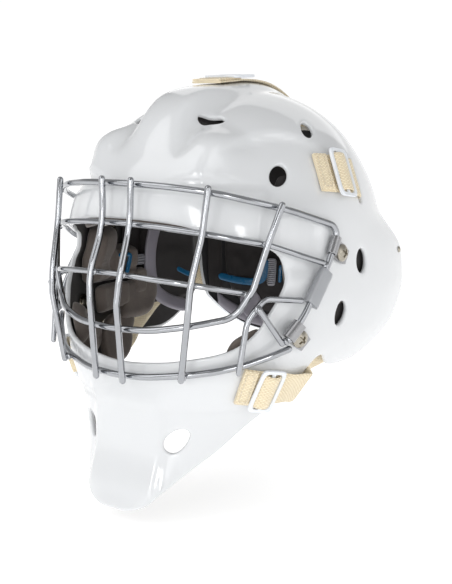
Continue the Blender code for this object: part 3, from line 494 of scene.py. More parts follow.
def label_paint():
    p = Paint("silver_label", (0.36, 0.37, 0.39), 0.34, 0.5)
    p.worn((220.0, 4.0), (0.3, 0.26), (0.8, 0.5))
    return p.bump(p.noise(160.0, 3.0), 0.25, 0.0004).made


WHITE = shell_paint()
SHELL_INSIDE = inner_shell_paint()
CHROME = metal_paint("chrome_wire", (0.40, 0.41, 0.43), 0.07)
STEEL = metal_paint("clip_steel", (0.36, 0.36, 0.37), 0.2)
NICKEL = metal_paint("nickel", (0.42, 0.39, 0.33), 0.18)
TAUPE = foam_paint("taupe_foam", (0.118, 0.097, 0.084))
DARK_LINER = cloth_paint("dark_liner", (0.017, 0.0145, 0.0145))
TERRY = terry_paint()
WEBBING_PAINT = weave_paint("webbing", (0.95, 0.83, 0.61), (0.58, 0.44, 0.25), 2.2)
THREAD = weave_paint("stitching", (0.86, 0.78, 0.62), (0.62, 0.52, 0.36))
WHITE_PLASTIC = plastic_paint("white_plastic", (0.80, 0.83, 0.87))
GREY_PLASTIC = plastic_paint("grey_plastic", (0.27, 0.255, 0.295), 0.45)
BLUE = plastic_paint("blue_trim", (0.004, 0.10, 0.22), 0.3)
GREY_TRIM = plastic_paint("grey_trim", (0.33, 0.33, 0.36), 0.4)
SILVER = label_paint()
# Near black for the back plate's inner faces.
BLACK = plastic_paint("plate_inside_black", (0.02, 0.02, 0.022), 0.5)


# ---- objects --------------------------------------------------------------------------------------
def linked(name, data):
    made = bpy.data.objects.new(name, data)
    bpy.context.collection.objects.link(made)
    return made


def piece(name, mesh, paint, body="root", stands_for=()):
    """A finished mesh or curve that rides on a body. Its slot is called after its paint."""
    made = linked(name, mesh)
    mesh.materials.append(paint)
    if body:
        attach(made, body)
    if stands_for:
        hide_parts(*stands_for)
    return made


def mesh_of(name, points, faces, uvs=None, sharp=50):
    """A mesh from points in mm, its faces turned outwards."""
    mesh = bpy.data.meshes.new(name)
    mesh.from_pydata([tuple(Vector(p) * MM) for p in points], [], [tuple(f) for f in faces])
    build = bmesh.new()
    build.from_mesh(mesh)
    if uvs is not None:
        layer = build.loops.layers.uv.new("weave")
        for face in build.faces:
            for loop in face.loops:
                loop[layer].uv = uvs[loop.vert.index]
    bmesh.ops.recalc_face_normals(build, faces=build.faces)
    if build.calc_volume(signed=True) < 0:
        bmesh.ops.reverse_faces(build, faces=build.faces)
    build.to_mesh(mesh)
    build.free()
    mesh.shade_smooth()
    mesh.set_sharp_from_angle(angle=math.radians(sharp))
    return mesh


def solid(name, points, faces, paint, body="root", stands_for=(), sharp=50, uvs=None):
    return piece(name, mesh_of(name, points, faces, uvs, sharp), paint, body, stands_for)


def smoothed(obj):
    step = obj.modifiers.new("smooth", "SUBSURF")
    step.levels = step.render_levels = 1
    return obj


def bevelled(obj, width):
    bevel = obj.modifiers.new("edges", "BEVEL")
    bevel.width = width * MM
    bevel.segments = 3
    bevel.limit_method = "ANGLE"
    return obj


def mirrored(points):
    return [(-x, y, z) for x, y, z in points]


def squared(value, power):
    """A cosine or sine bent towards a square's corners."""
    return math.copysign(abs(value) ** power, value)


def circle(count):
    return np.linspace(0, 2 * math.pi, count, endpoint=False)


def filleted(points, bends, step=1.5):
    """A polyline whose inner corners are rounded to the given radii, in mm."""
    points = [Vector(p) for p in points]
    out = [points[0]]
    for k in range(1, len(points) - 1):
        corner = points[k]
        back, on = points[k - 1] - corner, points[k + 1] - corner
        angle = back.angle(on)
        if angle > math.radians(179.5):
            continue
        reach = bends[k - 1] / math.tan(angle / 2)
        reach = min(reach, 0.48 * back.length, 0.48 * on.length)
        radius = reach * math.tan(angle / 2)
        middle = corner + (back.normalized() + on.normalized()).normalized() * math.hypot(reach, radius)
        first = corner + back.normalized() * reach - middle
        last = corner + on.normalized() * reach - middle
        sweep = math.pi - angle
        count = max(2, math.ceil(max(radius * sweep / step, sweep / 0.12)))
        for i in range(count + 1):
            t = i / count
            turn = first * math.sin((1 - t) * sweep) + last * math.sin(t * sweep)
            out.append(middle + turn / math.sin(sweep))
    out.append(points[-1])
    return out


def travelled(points):
    """The distance along a line at each of its points."""
    return np.concatenate([[0], np.cumsum(np.linalg.norm(np.diff(points, axis=0), axis=1))])


def smooth_line(points, count):
    """Evenly spaced points on a Catmull-Rom curve through the points."""
    points = [np.array(p, float) for p in points]
    ends = [2 * points[0] - points[1]] + points + [2 * points[-1] - points[-2]]
    fine = []
    for a, b, c, d in zip(ends, ends[1:], ends[2:], ends[3:]):
        for t in np.linspace(0, 1, 24, endpoint=False):
            fine.append(0.5 * (2 * b + (c - a) * t + (2 * a - 5 * b + 4 * c - d) * t**2
                               + (3 * b - a - 3 * c + d) * t**3))
    fine = np.array(fine + [points[-1]])
    length = travelled(fine)
    at = np.linspace(0, length[-1], count)
    return np.stack([np.interp(at, length, fine[:, k]) for k in range(fine.shape[1])], -1)


def rod(name, points, radius, paint, body="root", stands_for=(), bends=None, sides=5, cyclic=False):
    """A round wire along filleted points, with domed ends unless it closes on itself."""
    route = filleted(points, bends or [60] * (len(points) - 2))
    radii = [1.0] * len(route)
    if not cyclic:
        for end, inner in ((0, 1), (-1, -2)):
            out = (route[end] - route[inner]).normalized()
            tip = [(route[end] + out * radius * s, c) for s, c in ((0.38, 0.92), (0.71, 0.7), (0.92, 0.38))]
            if end == 0:
                route = [p for p, _ in reversed(tip)] + route
                radii = [c for _, c in reversed(tip)] + radii
            else:
                route += [p for p, _ in tip]
                radii += [c for _, c in tip]
    curve = bpy.data.curves.new(name, "CURVE")
    curve.dimensions = "3D"
    curve.bevel_depth = radius * MM
    curve.bevel_resolution = sides
    curve.use_fill_caps = True
    spline = curve.splines.new("POLY")
    spline.points.add(len(route) - 1)
    spline.use_cyclic_u = cyclic
    for made, point, scale in zip(spline.points, route, radii):
        made.co = (*(point * MM), 1.0)
        made.radius = scale
    spline.use_smooth = True
    return piece(name, curve, paint, body, stands_for)


def axes_at(normal, along):
    """A turn whose Z is the normal and whose X is nearest to along."""
    z = Vector(normal).normalized()
    x = Vector(along)
    x = (x - z * x.dot(z)).normalized()
    return Matrix((x, z.cross(x), z)).transposed()


def placed(points, matrix, origin, side=1):
    """Points turned, moved and, for the other side, mirrored."""
    flip = Matrix.Diagonal((side, 1, 1))
    return [tuple(flip @ (matrix @ Vector(p) + Vector(origin))) for p in points]


def ring_faces(rows, count, first=0, closed=False):
    """Quads between rows of count points; each row is a ring, and closed joins the last row to the first."""
    return [[first + i * count + k, first + i * count + (k + 1) % count,
             first + (i + 1) % rows * count + (k + 1) % count, first + (i + 1) % rows * count + k]
            for i in range(rows if closed else rows - 1) for k in range(count)]


def end_faces(rows, count):
    return [list(range(count)), [(rows - 1) * count + k for k in range(count)]]


def turned(profile, count):
    """Points and faces of a profile of (radius, height) turned about Z."""
    points, rings, faces = [], [], []
    for radius, height in profile:
        ring = [(radius * math.cos(t), radius * math.sin(t), height) for t in circle(count)]
        ring = ring if radius else [(0.0, 0.0, height)]
        rings.append(range(len(points), len(points) + len(ring)))
        points += ring
    if profile[0] == profile[-1]:
        rings.append(rings[0])
    for low, high in zip(rings, rings[1:]):
        for k in range(count):
            a, b = low[k % len(low)], low[(k + 1) % len(low)]
            c, d = high[(k + 1) % len(high)], high[k % len(high)]
            faces.append(list(dict.fromkeys((a, b, c, d))))
    return points, faces


def rounded_sheet(points, faces, wall, bulge, steps=6):
    """The shell as a closed mesh whose rims are half round, and how many points its outer skin has."""
    skin, normal = shell_frame(np.linalg.norm(points, axis=1), np.arctan2(points[:, 0], -points[:, 1]))
    inner = skin - normal * wall
    sample = skin[faces[:, 0]]
    facing = np.cross(skin[faces[:, 1]] - sample, skin[faces[:, 2]] - sample)
    flip = (facing * normal[faces[:, 0]]).sum(axis=1) < 0
    faces = np.where(flip[:, None], faces[:, ::-1], faces)
    used = np.unique(faces)
    index = -np.ones(len(points), int)
    index[used] = np.arange(len(used))
    faces = index[faces].tolist()
    skin, inner, normal = skin[used], inner[used], normal[used]
    n = len(used)
    directed = {(a, b) for f in faces for a, b in zip(f, f[1:] + f[:1])}
    rim = sorted((a, b) for a, b in directed if (b, a) not in directed)
    away = {}
    for a, b in rim:
        for k in (a, b):
            away[k] = away.get(k, 0) + np.cross(skin[b] - skin[a], normal[a])
    ring_of = {k: n * 2 + i * (steps - 1) for i, k in enumerate(sorted(away))}
    extra = []
    for k in sorted(away):
        out = away[k] / np.linalg.norm(away[k])
        middle = (skin[k] + inner[k]) / 2
        for s in range(1, steps):
            t = math.pi * s / steps
            extra.append(middle + normal[k] * wall / 2 * math.cos(t) + out * bulge * math.sin(t))
    made = faces + [[a + n, c + n, b + n] for a, b, c in faces]
    for a, b in rim:
        left = [a] + [ring_of[a] + s for s in range(steps - 1)] + [a + n]
        right = [b] + [ring_of[b] + s for s in range(steps - 1)] + [b + n]
        made += [[right[i], left[i], left[i + 1], right[i + 1]] for i in range(steps)]
    return np.concatenate([skin, inner, np.array(extra)]), made, n


# ---- shell ----------------------------------------------------------------------------------------
FINE_STEP = 3.0            # mesh spacing of the visible shell
RIM_BULGE = 1.5
SCREWS = {"upper": (87.8, -0.5), "lower": (69.0, -51.5)}     # angle, height
TEMPLE_SLOT = (104.5, 44.0, 8)                               # angle, height, tilt
SIDES = (("left", 1), ("right", -1))                         # the wearer's left is +X


def make_shell():
    outer = rounded_loop(both_halves(OUTER_EDGE), FINE_STEP)
    holes = [rounded_loop(both_halves(FACE_OPENING), FINE_STEP)]
    for _, side in SIDES:
        for turn, z, half_wide, half_high, tilt in VENTS:
            holes.append(local_loop(side * turn, z, oval_outline(half_wide, half_high, side * tilt, 36)))
        for turn, z in SCREWS.values():
            holes.append(local_loop(side * turn, z, oval_outline(SCREW_HOLE_R, SCREW_HOLE_R, 0, 16)))
        turn, z, tilt = TEMPLE_SLOT
        holes.append(local_loop(side * turn, z, slot_outline(*SLOT_HALF, side * tilt, 9, 12)))
    points, faces = trimmed_sheet(outer, holes, FINE_STEP)
    points, faces, count = rounded_sheet(points, faces, SHELL_WALL, RIM_BULGE)
    mesh = solid("shell_skin", points, faces, WHITE, stands_for=["shell"], sharp=70).data
    mesh.materials.append(SHELL_INSIDE)
    # Faces of the inner skin take the near-black inside paint, which is partly painted shade.
    lined = [all(count <= v < 2 * count for v in face.vertices) for face in mesh.polygons]
    mesh.polygons.foreach_set("material_index", np.array(lined, int))


# ---- cage -----------------------------------------------------------------------------------------
UPRIGHT_BENDS = [110, 110, 14]         # radii at an upright's inner points, from the top
LOOSE_BENDS = [60] * 20
SIDE_BENDS = [7, 20]
WELD_REACH = 5.6                       # middle lines this close are welded
WELD_APART = 14
WELD_SIZE = (2.7, 2.7, 1.55, 1)


def cage_wires():
    """Each wire's node, points, radius and bends."""
    def whole(name, half, radius, bends=None):
        bends = list(reversed(bends)) + [60] + list(bends) if bends else LOOSE_BENDS
        return name, mirrored(reversed(half[1:])) + list(half), radius, bends

    wires = [whole("cage_top_bar", TOP_BAR, WIRE_R, TOP_BAR_BENDS[1:]), whole("cage_second_bar", SECOND_BAR, BAR_R),
             whole("cage_third_bar", THIRD_BAR, BAR_R), whole("cage_eye_wire", EYE_WIRE, WIRE_R, EYE_WIRE_BENDS[:-1]),
             whole("cage_bottom_bar", BOTTOM_BAR, WIRE_R)]
    for name, side in SIDES:
        turn = mirrored if side < 0 else list
        wires += [(f"cage_centre_upright_{name}", turn(CENTRE_UPRIGHT), WIRE_R, UPRIGHT_BENDS),
                  (f"cage_outer_upright_{name}", turn(OUTER_UPRIGHT), WIRE_R, UPRIGHT_BENDS),
                  (f"cage_side_wire_{name}", turn(SIDE_WIRE), BAR_R, SIDE_BENDS),
                  (f"cage_diagonal_{name}", turn(DIAGONAL), BAR_R, LOOSE_BENDS)]
    return wires


def make_cage():
    for node, points, radius, bends in cage_wires():
        rod(f"{node}_wire", points, radius, CHROME, stands_for=[node], bends=bends)


def make_welds():
    """A small bead wherever two wires of the cage meet."""
    fine = {}
    for name, points, _, bends in cage_wires():
        line, route = filleted(points, bends, 3), []
        for a, b in zip(line, line[1:]):
            count = max(1, round((b - a).length / 0.8))
            route += [np.array(a.lerp(b, k / count)) for k in range(count)]
        fine[name] = np.array(route + [np.array(line[-1])])
    build = bmesh.new()
    names = sorted(fine)
    for i, one in enumerate(names):
        for other in names[i + 1:]:
            a, b = fine[one], fine[other]
            gaps = np.linalg.norm(a[:, None] - b[None], axis=-1)
            while gaps.min() < WELD_REACH:
                p, q = np.unravel_index(gaps.argmin(), gaps.shape)
                turn = axes_at(b[q] - a[p], a[min(p + 1, len(a) - 1)] - a[max(p - 1, 0)]).to_4x4()
                place = Matrix.Translation(Vector((a[p] + b[q]) / 2) * MM) @ turn @ Matrix.Scale(MM, 4)
                bmesh.ops.create_icosphere(build, subdivisions=2, radius=1.0,
                                           matrix=place @ Matrix.Diagonal(WELD_SIZE))
                gaps[np.linalg.norm(a - a[p], axis=1) < WELD_APART] = 99
    mesh = bpy.data.meshes.new("cage_welds")
    build.to_mesh(mesh)
    build.free()
    mesh.shade_smooth()
    piece("cage_welds", mesh, CHROME)


# ---- fixings --------------------------------------------------------------------------------------
SCREW_HEAD_R = 5.6
SCREW_HEAD_HIGH = 3.2
SCREW_SHANK_R = 2.4
RECESS = 1.5               # depth of the cross
CLIP_WALL = 1.0
CLIP_WIDTH = 12.0
CLIP_PLAY = {"upper": 0.35, "lower": 1.5}                    # round the wire
CLIP_LIFT = 0.55
CLIP_END = 7.4             # past the screw
CLIP_GAP = 0.3             # between the clip's two layers
NUT_BOTTOM = -9.5
LABEL_SPAN = (5.5, 30.5)   # along the frame wire
RIVET_SPOT = (135.0, -9.0)


def nearest_on_wire(points, bends, target):
    """The nearest point of a wire's middle line."""
    route, near = filleted(points, bends, 1.0), []
    for a, b in zip(route, route[1:]):
        t = min(1.0, max(0.0, (target - a).dot(b - a) / (b - a).length_squared))
        near.append(a.lerp(b, t))
    return min(near, key=lambda point: (point - target).length)


def clip_shape(line):
    """A springy strip bent along a line of (x, height), with eased corners at its ends."""
    line = [Vector(p) for p in line]
    rows, stations = [], (-1.0, -0.94, -0.6, 0.0, 0.6, 0.94, 1.0)
    length = travelled(np.array(line))
    for k, p in enumerate(line):
        along = (line[min(k + 1, len(line) - 1)] - line[max(k - 1, 0)]).normalized()
        across = Vector((-along.y, along.x)) * CLIP_WALL / 2
        near_end = min(length[k], length[-1] - length[k])
        half = CLIP_WIDTH / 2 * (0.80 + 0.20 * math.sqrt(min(1.0, near_end / 2.5)))
        rows += [(p + across, half * s) for s in stations] + [(p - across, half * s) for s in stations[::-1]]
    n = 2 * len(stations)
    faces = ring_faces(len(line), n)
    for start in (0, (len(line) - 1) * n):
        faces += [[start + i, start + i + 1, start + n - 2 - i, start + n - 1 - i] for i in range(n // 2 - 1)]
    return [(q.x, y, q.y) for q, y in rows], faces


def truss_screw(top):
    """A truss head with a cross recess, on its shank."""
    rings, count, points = 30, 120, [(0.0, 0.0, top + SCREW_HEAD_HIGH - RECESS)]
    for i in range(1, rings + 1):
        r = SCREW_HEAD_R * i / rings
        for t in circle(count):
            x, y = r * math.cos(t), r * math.sin(t)
            arm, reach = sorted((abs(x), abs(y)))
            dip = RECESS * (1 - float(smooth(arm, 0.5, 0.85))) * (1 - float(smooth(reach, 2.5, 3.1)))
            points.append((x, y, top + 0.75 + 2.45 * (1 - (r / SCREW_HEAD_R) ** 2.3) - dip))
    for r, h in ((SCREW_HEAD_R, top + 0.1), (SCREW_HEAD_R - 0.2, top), (SCREW_SHANK_R, top), (SCREW_SHANK_R, -9)):
        points += [(r * math.cos(t), r * math.sin(t), h) for t in circle(count)]
    faces = [[0, 1 + k, 1 + (k + 1) % count] for k in range(count)] + ring_faces(rings + 4, count, 1)
    return points, faces + [[1 + (rings + 3) * count + k for k in range(count)]]


def make_fixings():
    """Folded clips that hold the frame wire, their screws, and the nuts inside the shell."""
    for name, side in SIDES:
        for level, (turn, z) in SCREWS.items():
            seat, normal = (Vector(v) for v in on_shell(turn, z))
            wire_point = nearest_on_wire(TOP_BAR, TOP_BAR_BENDS[1:], seat)
            axes = axes_at(normal, seat - wire_point)
            lift = (wire_point - seat).dot(axes.col[2])
            reach = -(wire_point - seat).dot(axes.col[0])
            hold = WIRE_R + CLIP_PLAY[level] + CLIP_WALL / 2
            low = CLIP_LIFT + CLIP_WALL / 2
            high = low + CLIP_WALL + CLIP_GAP

            def fitted(what, shape, paint, sharp):
                points, faces = shape
                return solid(f"{what}_{level}_{name}", placed(points, axes, seat, side), faces, paint,
                             stands_for=[f"cage_{what}_{level}_{name}"], sharp=sharp)

            line = [(CLIP_END, low), (0, low), (-reach + 5.5, low), (-reach + 4.0, low - 0.05)]
            line += [(-reach + hold * math.cos(t), lift + hold * math.sin(t))
                     for t in np.radians(np.linspace(285, 62, 30))]
            line += [(-reach + 4.0, high + 0.9), (-reach + 5.2, high + 0.4), (-reach + 7.0, high), (0, high),
                     (CLIP_END, high)]
            bevelled(fitted("clip", clip_shape(line), STEEL, 60), 0.18)
            fitted("screw", truss_screw(high + CLIP_WALL / 2 + 0.1), NICKEL, 42)
            flange = -(SHELL_WALL + 0.9)
            bore = SCREW_SHANK_R + 0.3
            nut = [(bore, flange), (7.2, flange), (7.5, flange - 0.3), (7.5, flange - 1.1), (7.2, flange - 1.4),
                   (4.4, flange - 1.5), (4.2, flange - 1.9), (4.2, NUT_BOTTOM + 0.3),
                   (3.9, NUT_BOTTOM), (bore, NUT_BOTTOM), (bore, flange)]
            fitted("nut", turned(nut, 40), NICKEL, 40)


def make_labels():
    """A blank foil label wrapped round each side of the frame wire."""
    start, end = Vector(TOP_BAR[6]), Vector(TOP_BAR[7])
    axes = axes_at(end - start, on_shell(74.0, -18.0)[1])
    count, levels = 40, np.linspace(*LABEL_SPAN, 26)
    points = []
    for level in levels:
        pinch = 1 - sum(0.06 * math.exp(-((level - at) / 1.2) ** 2) for at in LABEL_SPAN)
        for t in circle(count):
            c, s = math.cos(t), math.sin(t)
            deep = 2.7 * squared(s, 0.75) * (1 - 0.45 * smooth(-c, 0.2, 0.9)) * pinch
            points.append((-deep, 5.8 * squared(c, 0.5) * pinch - 1.5, level))
    n = len(levels)
    faces = ring_faces(n, count)
    for i in (0, n - 1):
        faces += [[len(points), i * count + k, i * count + (k + 1) % count] for k in range(count)]
        points.append((0.0, -1.0, levels[i]))
    for name, side in SIDES:
        solid(f"label_{name}", placed(points, axes, start, side), faces, SILVER,
              stands_for=[f"label_sleeve_{name}"])


def make_rivets():
    dome = [(0, 0), (2.2, 0), (2.35, 0.15), (2.2, 0.45), (1.8, 0.85), (1.1, 1.2), (0.5, 1.36), (0, 1.4)]
    points, faces = turned(dome, 32)
    for name, side in SIDES:
        seat, normal = on_shell(side * RIVET_SPOT[0], RIVET_SPOT[1], -0.1)
        solid(f"rivet_{name}", placed(points, axes_at(normal, (0, 0, 1)), seat), faces, NICKEL,
              stands_for=[f"flap_rivet_{name}"])


# ---- padding --------------------------------------------------------------------------------------
PAD_START = SHELL_WALL + 1.5
BROW_WALL = 11.0
PAD_ROUND = 0.16           # rounded margin of a pad, as a share of its half width
SEAM_HALF = 0.07           # half width of a seam's groove, on the same scale
HELD_MARGIN = 0.12         # margin that stays sewn down while a pad is inflated
HELD_SEAM = 0.06
CLOTH_FRAMES = 14
sewn = []                  # pads that are inflated together as cloth: (object, most movement in mm)


def opening_top(turn):
    rows = FACE_OPENING[:6]
    return graded(np.abs(turn), [r[0] for r in rows], [r[1] for r in rows])


def side_pad_high(turn):
    return graded(np.abs(turn), (67, 80.5, 83.5, 99), (8, 8, -10, -10))


def jaw_pad_high(turn):
    return graded(np.abs(turn), (40, 48, 55, 60, 80), (-58, -50, -45, -63, -66))


def jaw_pad_low(turn):
    return graded(np.abs(turn), (40, 59, 63, 80), (-73, -73, -88, -88))


def on_side(side, *turns):
    """A range of angles, mirrored for the wearer's right."""
    return turns if side > 0 else tuple(-turn for turn in reversed(turns))


def limits(heights, turn):
    return [edge(turn) if callable(edge) else edge for edge in heights]


def pad_grid(turns, heights, count, corner=0.10):
    """Angles, heights and the place (-1..1) of a patch's grid, its corners drawn in."""
    a = np.linspace(-1, 1, count[0])[:, None] + np.zeros((1, count[1]))
    b = np.linspace(-1, 1, count[1])[None, :] + np.zeros((count[0], 1))
    u, v = a * (1 - corner * np.abs(b) ** 5), b * (1 - corner * np.abs(a) ** 5)
    turn = (turns[0] + turns[1]) / 2 + (turns[1] - turns[0]) / 2 * u
    bottom, top = limits(heights, turn)
    return turn, (bottom + top) / 2 + (top - bottom) / 2 * v, a, b


def closed_grid(near, far, count):
    rows, cols = count
    n = rows * cols
    faces = []
    for i in range(rows - 1):
        for j in range(cols - 1):
            quad = [i * cols + j, (i + 1) * cols + j, (i + 1) * cols + j + 1, i * cols + j + 1]
            faces += [quad, [n + q for q in reversed(quad)]]
    loop = [i * cols for i in range(rows)] + [(rows - 1) * cols + j for j in range(1, cols)]
    loop += [i * cols + cols - 1 for i in range(rows - 2, -1, -1)] + list(range(cols - 2, 0, -1))
    faces += [[p, q, n + q, n + p] for p, q in zip(loop, loop[1:] + loop[:1])]
    return np.concatenate([near.reshape(-1, 3), far.reshape(-1, 3)]), faces


def eased(gap, width):
    """A quarter round: 0 at a gap of 0, 1 from a gap of width."""
    return np.sqrt(1 - (1 - np.clip(gap / width, 0, 1)) ** 2)


def pad(name, turns, heights, start, wall, paint, nodes, body="root", surface=on_shell, step=3.6,
        puff=2.0, seams=(), edge=0.28, corner=0.10):
    """A sewn pad against a surface: flat behind, crowned in front, drawn in along its seams."""
    bottom, top = limits(heights, (turns[0] + turns[1]) / 2)
    level = (bottom + top) / 2
    centre = surface((turns[0] + turns[1]) / 2, level)[0]
    across = sum(np.linalg.norm(surface(turn, level)[0] - centre) for turn in turns)
    count = (max(9, round(across / step)), max(7, round(abs(top - bottom) / step)))
    turn, z, a, b = pad_grid(turns, heights, count, corner)
    near, normal = surface(turn, z, start)
    edge_gap = np.minimum(1 - np.abs(a), (1 - np.abs(b)) * max(0.35, (top - bottom) / max(across, 1)))
    lift = edge + (1 - edge) * eased(edge_gap, PAD_ROUND)
    front = 1 - np.clip(edge_gap / HELD_MARGIN, 0, 1)
    for axis, value, depth in seams:
        gap = np.abs((a if axis == "u" else b) - value)
        lift = lift * (1 - depth * np.exp(-(gap / SEAM_HALF) ** 2))
        front = np.maximum(front, np.exp(-(gap / HELD_SEAM) ** 2))
    far = near - normal * ((wall - puff * 0.6) * lift)[..., None]
    points, faces = closed_grid(near, far, count)
    made = solid(name, points, faces, paint, body, nodes, sharp=80)
    group = made.vertex_groups.new(name="held")
    for k, weight in enumerate([1.0] * front.size + front.ravel().tolist()):
        group.add([k], weight, "REPLACE")
    sewn.append((made, puff))


def inflate():
    """Blows the sewn pads up a little, all in one run, and keeps the result."""
    settings = {"quality": 5, "mass": 0.2, "tension_stiffness": 12, "compression_stiffness": 8,
                "shear_stiffness": 5, "bending_stiffness": 0.8, "use_pressure": True,
                "uniform_pressure_force": 4, "shrink_min": -0.035, "vertex_group_mass": "held"}
    for made, _ in sewn:
        cloth = made.modifiers.new("stuffing", "CLOTH")
        for key, value in settings.items():
            setattr(cloth.settings, key, value)
        cloth.settings.effector_weights.gravity = 0
        cloth.point_cache.frame_start, cloth.point_cache.frame_end = 1, CLOTH_FRAMES
    for frame in range(1, CLOTH_FRAMES + 1):
        bpy.context.scene.frame_set(frame)
    eyes = bpy.context.evaluated_depsgraph_get()
    for made, most in sewn:
        before, after = (np.array([v.co[:] for v in obj.data.vertices]) for obj in (made, made.evaluated_get(eyes)))
        move = after - before if len(after) == len(before) and np.isfinite(after).all() else 0 * before
        size = np.linalg.norm(move, axis=1, keepdims=True)
        move = move * np.minimum(1.0, most * MM / np.maximum(size, 1e-9))
        made.modifiers.clear()
        made.data.vertices.foreach_set("co", (before + move).astype(np.float32).ravel())
        made.data.update()
        smoothed(made)
    bpy.context.scene.frame_set(1)


def make_pads():
    pad("brow_cushion", (-52, 52), (lambda a: opening_top(a) - 4.8, 56), PAD_START + 3.4, BROW_WALL - 1, TAUPE,
        ["brow_pad"], surface=on_plain, seams=(("u", 0.0, 0.25), ("u", -0.55, 0.2), ("u", 0.55, 0.2)))
    pad("sweatband_terry", (-46, 46), (lambda a: opening_top(a) - 4.2, 44), PAD_START + BROW_WALL + 2.4, 4.4, TERRY,
        ["sweatband"], surface=on_plain, puff=1.2, step=3.2, edge=0.5)
    for name, side in SIDES:
        pad(f"temple_cushion_{name}", on_side(side, 60, 97), (14, 56), PAD_START + 0.5, 11.0, DARK_LINER,
            [f"temple_pad_{name}"], seams=(("u", side * 0.1, 0.3),))
        pad(f"ear_cushion_{name}", on_side(side, 104, 131), (-56, 8), PAD_START + 2.2, 8.0, DARK_LINER,
            [f"ear_pad_{name}"], seams=(("v", 0.35, 0.2),), puff=1.2, corner=0.14)
        pad(f"side_cushion_{name}", on_side(side, 67, 99), (-38, side_pad_high), PAD_START, 16.0, TAUPE,
            [f"side_pad_{name}"], step=2.8, edge=0.4,
            seams=(("v", -0.35, 0.16), ("u", side * -0.15, 0.2), ("u", side * 0.45, 0.16)))
        pad(f"jaw_cushion_{name}", on_side(side, 44, 79), (jaw_pad_low, jaw_pad_high), PAD_START, 11.0, TAUPE,
            [f"jaw_pad_{name}"], seams=(("u", side * -0.1, 0.3),), step=3.2)
    pad("chin_cushion", (-34, 34), (-134, -110), PAD_START, 9.0, TAUPE, ["chin_pad"], seams=(("u", 0.0, 0.3),))


def make_crown_pad():
    """An oval lining pad under the dome, sewn in four lobes."""
    rows, cols = 15, 48
    s = np.concatenate([np.linspace(0.0, 0.86, rows - 4), [0.92, 0.965, 0.99, 1.0]])[:, None]
    t = circle(cols)[None, :]
    near, normal = shell_frame(np.maximum(s * (0.50 + 0.12 * np.cos(2 * t)), 0.004), t + 0 * s, PAD_START + 3.0)
    ring_seam = 1 - 0.38 * np.exp(-((s - 0.55) / 0.05) ** 2)
    lobe_seams = 1 - 0.3 * np.exp(-(np.sin(2 * t) / 0.16) ** 2) * smooth(s, 0.5, 0.62)
    lift = (0.25 + 0.75 * eased(1 - s, 0.14) + 0 * t) * ring_seam * lobe_seams
    far = near - normal * (9.4 * lift)[..., None]
    n = rows * cols
    faces = []
    for quad in ring_faces(rows, cols):
        quad = [quad[0], *quad[:0:-1]]
        faces += [quad, [n + q for q in reversed(quad)]]
    faces += [list(range(cols)), [n + k for k in reversed(range(cols))]]
    last = n - cols
    faces += [[last + k, last + (k + 1) % cols, n + last + (k + 1) % cols, n + last + k] for k in range(cols)]
    made = solid("crown_cushion", np.concatenate([near.reshape(-1, 3), far.reshape(-1, 3)]), faces, DARK_LINER,
                 stands_for=["crown_pad"], sharp=80)
    smoothed(made)


def trimmer(name, side, body, surface, start):
    """Makers of one side's moulded trims, which lie on pads at a depth counted from start."""
    def patch(what, turns, heights, depth, wall, paint, count, corner=0.16, ribs=0):
        turn, z, a, b = pad_grid(on_side(side, *turns), heights, count, corner)
        near, normal = surface(turn, z, start + depth)
        lift = 0.55 + 0.45 * eased(1 - np.maximum(np.abs(a), np.abs(b)), 0.2)
        if ribs:
            lift = lift * (0.72 + 0.28 * np.cos(math.pi * ribs * b))
        points, faces = closed_grid(near, near - normal * (wall * lift)[..., None], count)
        smoothed(solid(f"{what}_{name}", points, faces, paint, body, sharp=70))

    def rail(what, spots, half_wide, high, paint, depth):
        line = smooth_line([(side * turn, z) for turn, z in spots], max(12, len(spots) * 9))
        centre, normal = surface(line[:, 0], line[:, 1], start + depth)
        across = np.cross(unit(np.gradient(centre, axis=0)), normal)
        count, points = 12, []
        for k in range(len(line)):
            tip = min(1.0, 0.35 + 0.3 * min(k, len(line) - 1 - k))
            points += [centre[k] + across[k] * half_wide * tip * squared(math.cos(t), 0.6)
                       - normal[k] * high * squared(math.sin(t), 0.8) for t in circle(count)]
        faces = ring_faces(len(line), count) + end_faces(len(line), count)
        smoothed(solid(f"{what}_{name}", points, faces, paint, body, sharp=60))

    return patch, rail


def make_side_trims():
    """Moulded parts on the face pads: an L of blue, silver ribs, a soft bulge and a lilac-grey rail."""
    for name, side in SIDES:
        patch, rail = trimmer(name, side, "root", on_shell, PAD_START)
        rail("blue_hook", ((84, -16.5), (88, -16.8), (91.6, -17.6), (91.8, -21), (90.6, -28), (89.2, -36)), 1.7, 1.3,
             BLUE, 14.6)
        patch("silver_ribs", (95.5, 103.0), (-27.5, -19), 10.1, 3.2, GREY_TRIM, (10, 41), ribs=4)
        patch("bulge", (94.5, 102.5), (-52, -29), 9.6, 6.5, TAUPE, (12, 16), 0.3)
        rail("lilac_rail", ((115, 16), (110, 4), (107, -14), (106.5, -32), (108.5, -48), (113, -58), (120, -66),
                            (130, -72)), 6.0, 2.2, GREY_PLASTIC, 10.4)
        patch("lower_block", (88, 110), (-73, -39.5), 8.5, 6.5, TAUPE, (16, 12), 0.12)
        patch("upper_gusset", (95, 112), (-20, 16), 0.3, 1.6, DARK_LINER, (16, 16), 0.2)
        patch("middle_gusset", (83, 103), (-58, -28), 0.3, 1.6, DARK_LINER, (16, 16), 0.2)
        patch("gusset", (96, 131), (-64, -46), 8.0, 3.0, DARK_LINER, (24, 10), 0.2)
        patch("jaw_flap", (76, 100), (-99, -65), 7.0, 5.0, TAUPE, (16, 16), 0.22)
        patch("face_block", (70, 93), (-62, -39), 8.0, 7.5, TAUPE, (16, 12), 0.12)
        rail("blue_sweep", ((121, -36), (125, -41), (129, -44.5), (132, -46)), 2.3, 0.8, BLUE, 10.2)


